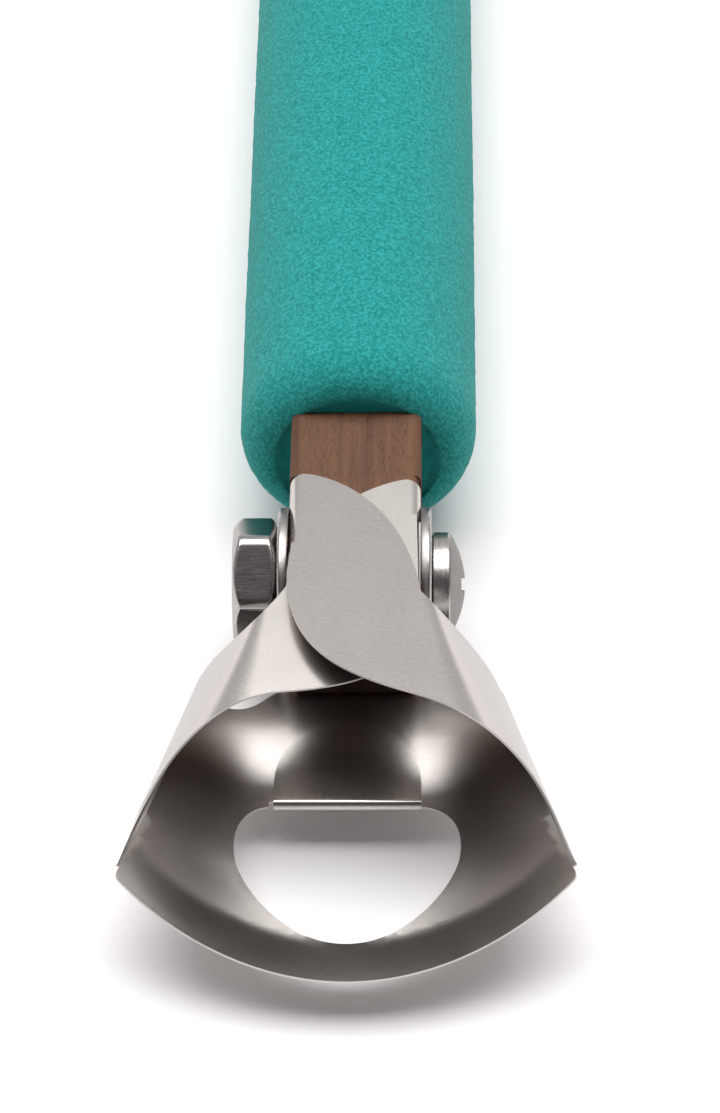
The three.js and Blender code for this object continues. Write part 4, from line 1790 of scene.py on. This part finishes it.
@dataclass
class Fasteners:
    """The screw, two washers and nut that clamp one head, number 8 with 32 threads an inch.

    Radii, bores and edges are measured from the screw's axis, and flats across the nut. The
    play values are the gaps that keep the pieces from touching.
    """

    end: End
    screw_radius: float = 2.06
    pitch: float = 0.79375
    thread_depth: float = 0.42
    thread_flank: float = 0.44
    thread_steps: int = 12
    point_share: float = 0.82
    point_length: float = 0.5
    thread_run_out: tuple[float, float] = (1.2, 0.7)
    head_wall: float = 1.42
    head_break_in: float = 0.15
    head_break_up: float = 0.12
    head_foot: float = 0.2
    head_edge: float = 0.35
    head_play: float = 0.03
    crown_tip: float = 0.02
    crown_share: float = 0.4
    crown_steps: int = 14
    edge_steps: int = 6
    recess_span: float = 4.6
    recess_floor: float = 1.3
    recess_width: float = 1.0
    recess_taper: float = 0.72
    recess_depth: float = 1.3
    nut_flats: float = 8.73
    nut_chamfer: float = 0.58
    nut_soft: float = 0.35
    nut_mouth: float = 0.25
    nut_face_inset: float = 0.25
    nut_face_step: float = 0.3
    nut_lead: float = 0.35
    nut_corner_trim: float = 0.16
    nut_corner_soft: float = 0.12
    nut_turn: float = 62.0
    nut_sides: int = 288
    nut_steps: int = 40
    thread_play: float = 0.06
    ridge_share: float = 0.85
    washer_bore: float = 2.25
    washer_roll: float = 0.3
    washer_burr: float = 0.06
    sides: int = 96

    def _span(self, piece: str) -> tuple[float, float, float]:
        """Measures a piece that the screw holds, in the head's own axes.

        Args:
            piece: The piece, by the frame's name.

        Returns:
            How far its inner and outer face lie from the middle, and its radius.
        """
        low, high = (Vector(c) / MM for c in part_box(self.end.node(piece)))
        radius = (high.z - low.z) / 2
        near, far = sorted((abs(low.x), abs(high.x)))
        return near, far, radius

    def _turned(self, profile: Sequence[tuple[float, float]], side: int) -> Grid:
        """Turns a profile about the screw's axis.

        Args:
            profile: Pairs of a place along the axis and a radius.
            side: 1 for the screw head's side and -1 for the nut's.

        Returns:
            One ring of points for each pair.
        """
        angles = turns(self.sides)
        return [ring(side * x, r, angles) for x, r in profile]

    def screw(self, finish: bpy.types.Material, shaded_crown: bpy.types.Material) -> bpy.types.Object:
        """Builds the screw: a domed pan head with a cross recess and a threaded shank.

        Args:
            finish: Its material.
            shaded_crown: The material of the head's crown, painted darker as shade.

        Returns:
            The screw.
        """
        low, high = (Vector(c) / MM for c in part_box(self.end.node("screw")))
        tip, top = sorted((self.end.sign * low.x, self.end.sign * high.x))
        radius = (high.z - low.z) / 2
        _, washer_out, _ = self._span("screw_washer")
        seat = washer_out + self.head_play
        edge = self.head_edge
        broken = [(seat, radius - self.head_break_in), (seat + self.head_break_up, radius)]
        wall = seat + self.head_wall
        profile = [*broken, (seat + self.head_foot, radius), (wall - edge, radius)]
        for i in range(1, self.edge_steps + 1):
            a = math.pi / 3 * i / self.edge_steps
            profile.append((wall - edge + edge * math.sin(a), radius - edge * (1 - math.cos(a))))
        start_x, start_r = profile[-1]
        for i in range(1, self.crown_steps + 1):
            t = i / self.crown_steps
            r = start_r * (1 - t) + self.crown_tip * t
            x = start_x + (top - start_x) * (1 - (r / start_r) ** 2)
            profile.append((x, r))
        skin = Skin()
        skin.tube(self._thread(tip, seat) + self._turned(profile, 1))
        piece = skin.build(f"{self.end.value}_pan_head_screw", self.end.place(), weld=1e-3)
        for turn in (45.0, -45.0):
            cut(piece, self._recess_wing(top, turn))
        settle(piece, 38.0)
        # The crown's faces take the darker steel, which is painted shade.
        crown_from = wall - edge * self.crown_share
        self._two_finishes(piece, finish, shaded_crown, lambda x, r: x > crown_from)
        body = f"{self.end.value}_screw"
        return dress(piece, body, self.end.node("screw"))

    def _two_finishes(
        self,
        piece: bpy.types.Object,
        first: bpy.types.Material,
        second: bpy.types.Material,
        chosen: Callable[[float, float], bool],
    ) -> None:
        """Gives a turned piece two materials.

        Args:
            piece: The piece.
            first: The material of most of it.
            second: The material of the chosen faces.
            chosen: Picks faces by their distance along the axis and from it, in millimetres.
        """
        to_head = self.end.place().inverted()

        def picked(middle: Vector) -> bool:
            """Whether the face with this middle gets the second material."""
            at = to_head @ middle
            return chosen(at.x, math.hypot(at.y, at.z))

        paint(piece, (first, second), picked)

    def _thread(self, tip: float, seat: float) -> Grid:
        """The shank, with its thread cut as a helix, from the tip to under the head.

        Args:
            tip: Where the tip lies, on the nut's side.
            seat: Where the underside of the head lies.

        Returns:
            Rings of points along the shank.
        """
        count = round((seat - tip) / self.pitch * self.thread_steps)
        rows: Grid = []
        for i in range(count + 1):
            x = tip + (seat - tip) * i / count
            point = self.point_share + (1 - self.point_share) * ramp(x, tip, tip + self.point_length)
            run_out = 1 - ramp(x, *(seat - clear for clear in self.thread_run_out))
            row = []
            for a in turns(self.sides):
                depth = self.thread_depth * self._groove(x, a) * run_out
                r = (self.screw_radius - depth) * point
                row.append(Vector((x, r * math.cos(a), r * math.sin(a))))
            rows.append(row)
        return rows

    def _groove(self, x: float, angle: float) -> float:
        """How deep the thread's groove is at a place, from 0 on its crest to 1 at its root."""
        phase = (x / self.pitch - angle / (2 * math.pi)) % 1.0
        return max(0.0, 1.0 - abs(phase - 0.5) / self.thread_flank)

    def _recess_wing(self, top: float, degrees: float) -> bpy.types.Object:
        """One of the two crossed slots of the recess, which narrows towards its floor.

        Args:
            top: Where the crown of the head lies.
            degrees: The slot's turn about the axis.

        Returns:
            The cutter.
        """
        above = 0.3
        slope = (self.recess_span - self.recess_floor) / self.recess_depth / 2
        rings: Grid = []
        for x, half in (
            (top - self.recess_depth, self.recess_floor / 2),
            (top + above, self.recess_span / 2 + slope * above),
        ):
            width = self.recess_width / 2 * (self.recess_taper if x < top else 1.0)
            corners = ((-half, -width), (half, -width), (half, width), (-half, width))
            rings.append([Vector((x, y, z)) for y, z in corners])
        skin = Skin()
        skin.tube(rings)
        spin = Matrix.Rotation(math.radians(degrees), 4, "X")
        return skin.build("recess_wing", self.end.place() @ spin)

    def washer(
        self, piece: str, finish: bpy.types.Material, sheared: bpy.types.Material
    ) -> bpy.types.Object:
        """Builds a stamped washer, rolled over at its outer edge.

        Args:
            piece: Which of the two, by the frame's name.
            finish: Its material.
            sheared: The material of the torn part of its edge.

        Returns:
            The washer.
        """
        near, far, radius = self._span(piece)
        side = 1 if piece == "screw_washer" else -1
        roll, burr = self.washer_roll, self.washer_burr
        profile = [(near, self.washer_bore + burr), (near, radius - burr)]
        profile += [(near + burr, radius)]
        for i in range(self.edge_steps + 1):
            a = math.pi / 2 * i / self.edge_steps
            profile.append((far - roll + roll * math.sin(a), radius - roll * (1 - math.cos(a))))
        profile += [(far, self.washer_bore + roll), (far - roll / 2, self.washer_bore)]
        profile += [(near + burr, self.washer_bore), profile[0]]
        skin = Skin()
        skin.grid(self._turned(profile, side), around=True)
        made = skin.build(f"{self.end.value}_{piece}_stamped", self.end.place(), weld=1e-3)
        settle(made, 50.0)
        torn, rim = far - roll, radius - 0.1
        self._two_finishes(made, finish, sheared, lambda x, r: abs(x) < torn and r > rim)
        return dress(made, "handle", self.end.node(piece))

    def nut(self, finish: bpy.types.Material) -> bpy.types.Object:
        """Builds the hexagon nut, with both faces chamfered and its thread cut.

        Args:
            finish: Its material.

        Returns:
            The nut.
        """
        near, far, _ = self._span("nut")
        flats = self.nut_flats / 2
        angles = turns(self.nut_sides)
        mouth = self.screw_radius + self.nut_mouth
        face_edge = flats - self.nut_face_inset
        face_ring = face_edge - self.nut_face_step
        rows: Grid = [ring(-near, r, angles) for r in (mouth, face_ring)]
        for x in np.linspace(near, far, self.nut_steps):
            chamfer = face_edge + min(x - near, far - x) / self.nut_chamfer
            rows.append([self._nut_point(x, a, self._hexagon(a, flats), chamfer) for a in angles])
        rows += [ring(-far, r, angles) for r in (face_ring, mouth)]
        steps = round((far - near) / self.pitch * self.thread_steps)
        for i in range(1, steps):
            x = far + (near - far) * i / steps
            lead = max(0.0, self.nut_lead - min(x - near, far - x))
            row = []
            for a in angles:
                ridge = self.thread_depth * self.ridge_share * self._groove(-x, a)
                r = self.screw_radius + self.thread_play - ridge + lead
                r = min(mouth, max(r, self.screw_radius - self.thread_depth + lead))
                row.append(Vector((-x, r * math.cos(a), r * math.sin(a))))
            rows.append(row)
        skin = Skin()
        skin.grid(rows + [rows[0]], around=True)
        piece = skin.build(f"{self.end.value}_hexagon_nut", self.end.place(), weld=1e-3)
        settle(piece, 38.0)
        paint(piece, (finish,))
        return dress(piece, f"{self.end.value}_nut", self.end.node("nut"))

    def _hexagon(self, angle: float, flats: float) -> float:
        """Measures the nut's hexagon.

        Args:
            angle: A direction from the axis.
            flats: Half its width across flats.

        Returns:
            How far the hexagon lies from the axis in that direction.
        """
        turned = (angle - math.radians(self.nut_turn)) % (math.pi / 3)
        if turned > math.pi / 6:
            turned -= math.pi / 3
        return flats / math.cos(turned)

    def _nut_point(self, x: float, angle: float, hexagon: float, chamfer: float) -> Vector:
        """A point of the nut's side, softened where the flats meet the chamfers.

        Args:
            x: Its place along the axis.
            angle: Its direction from the axis.
            hexagon: The hexagon's distance there.
            chamfer: The chamfer's distance there.

        Returns:
            The point.
        """
        corner = self.nut_flats / 2 / math.cos(math.pi / 6) - self.nut_corner_trim
        r = soft_least(soft_least(hexagon, corner, self.nut_corner_soft), chamfer, self.nut_soft)
        return Vector((-x, r * math.cos(angle), r * math.sin(angle)))


@dataclass
class Camera:
    """The camera at the photograph's viewing angle, fitted to the tool's known sizes."""

    focal_px: float = 4081.0
    frame_px: float = 1113.0
    distance: float = 296.0
    elevation: float = 46.0
    azimuth: float = 1.53
    roll: float = -1.21
    aim_right: float = 0.3
    aim_back: float = 2.8
    sensor: float = 36.0

    def build(self, head: Matrix) -> bpy.types.Object:
        """Makes the camera.

        Args:
            head: The place of the head that it looks at.

        Returns:
            The camera.
        """
        e, a, roll = (math.radians(v) for v in (self.elevation, self.azimuth, self.roll))
        away = Vector((math.sin(a) * math.cos(e), -math.cos(a) * math.cos(e), math.sin(e)))
        level = (-away).cross(Vector((0, 0, 1))).normalized()
        upright = level.cross(-away)
        right = level * math.cos(roll) + upright * math.sin(roll)
        up = upright * math.cos(roll) - level * math.sin(roll)
        aim = head.translation + Vector((self.aim_right, self.aim_back, 0.0))
        spot = (aim + away * self.distance) * MM
        data = bpy.data.cameras.new("viewpoint")
        data.sensor_width = self.sensor
        data.lens = self.focal_px * self.sensor / self.frame_px
        data.clip_start = 0.01
        camera = bpy.data.objects.new("viewpoint", data)
        turned = Matrix((right, up, away)).transposed().to_4x4()
        camera.matrix_world = Matrix.Translation(spot) @ turned
        bpy.context.collection.objects.link(camera)
        bpy.context.scene.camera = camera
        return camera


@dataclass
class Studio:
    """A pale floor under one large soft light, in a room that is dark behind the camera."""

    floor_half: float = 1500.0
    light_distance: float = 1000.0
    light_lean: float = 11.5
    light_size: tuple[float, float] = (1400.0, 780.0)
    light_power: float = 15.7
    world_light: float = 1.0
    depth_stops: tuple[tuple[float, float], ...] = (
        (0.0, 0.1), (0.3, 0.07), (0.5, 0.4), (0.7, 0.56), (1.0, 0.62),
    )
    rise_stops: tuple[tuple[float, float], ...] = ((0.0, 0.85), (0.15, 0.6), (0.35, 0.08), (1.0, 0.06))

    def build(self) -> None:
        """Makes the floor, the light and the room."""
        bpy.context.scene.view_settings.view_transform = "Standard"
        signs = ((-1, -1), (1, -1), (1, 1), (-1, 1))
        corners = [Vector((x, y, 0)) * self.floor_half for x, y in signs]
        skin = Skin()
        skin.fan(corners)
        floor = skin.build("pale_floor", Matrix.Identity(4))
        floor.data.materials.append(PaperFloor().material())
        self._softbox()
        self._room()

    def _softbox(self) -> None:
        """Hangs the one large light above and a little behind the tool."""
        light = bpy.data.lights.new("overhead_softbox", "AREA")
        light.shape = "RECTANGLE"
        light.size, light.size_y = (side * MM for side in self.light_size)
        light.energy = self.light_power
        lamp = bpy.data.objects.new("overhead_softbox", light)
        lean = math.radians(self.light_lean)
        away = Vector((0.0, math.sin(lean), math.cos(lean)))
        lamp.location = away * self.light_distance * MM
        lamp.rotation_euler = (-lean, 0.0, 0.0)
        bpy.context.collection.objects.link(lamp)

    def _room(self) -> None:
        """Lights the room from behind and along the horizon, and leaves it dark in front."""
        world = bpy.data.worlds.new("room")
        bpy.context.scene.world = world
        bench = ShaderBench(world)
        direction = bench.node("ShaderNodeTexCoord", output="Generated")
        glows = []
        for axis, low, stops in (("Y", -1.0, self.depth_stops), ("Z", 0.0, self.rise_stops)):
            part = bench.node("ShaderNodeSeparateXYZ", {}, {0: direction}, axis)
            reach = {"Value": part, "From Min": low, "From Max": 1.0}
            greys = {"stops": [(at, (v, v, v)) for at, v in stops]}
            reached = bench.node("ShaderNodeMapRange", {}, reach)
            glows.append(bench.node("ShaderNodeValToRGB", greys, {"Fac": reached}))
        lighter = {"data_type": "RGBA", "blend_type": "LIGHTEN"}
        both = bench.node("ShaderNodeMix", lighter, {0: 1.0, 6: glows[0], 7: glows[1]}, 2)
        glow = bench.node("ShaderNodeBackground", {}, {"Color": both, "Strength": self.world_light})
        bench.node("ShaderNodeOutputWorld", {}, {"Surface": glow})


@dataclass
class CarvingTool:
    """The whole tool: its bar, its foam and the two heads with their fasteners."""

    heads: tuple[FoldedBlade, ...] = (WIDE_HEAD, NARROW_HEAD)

    def build(self) -> None:
        """Builds every piece and rides it on its body."""
        places = [head.end.place() for head in self.heads]
        Bar().build(places, Walnut().material(), END_GRAIN.material())
        grip = FoamGrip().build(ClosedCellFoam().material(), CUT_FOAM.material())
        sheet, edge = RolledSheet().material(), ShearedEdge().material()
        turned, crown, stamped, drawn = (
            steel.material() for steel in (SCREW_STEEL, SHADED_CROWN_STEEL, STAMPED_EDGE, NUT_STEEL)
        )
        for head in self.heads:
            head.build(sheet, edge)
            kit = Fasteners(head.end)
            kit.screw(turned, crown)
            kit.washer("screw_washer", turned, stamped)
            kit.washer("nut_washer", turned, stamped)
            kit.nut(drawn)


def main() -> None:
    """Builds the camera, the studio and the tool, in that order."""
    logging.basicConfig(level=logging.INFO, format="%(message)s")
    Camera().build(End.WIDE.place())
    Studio().build()
    CarvingTool().build()


if __name__ == "__main__":
    main()
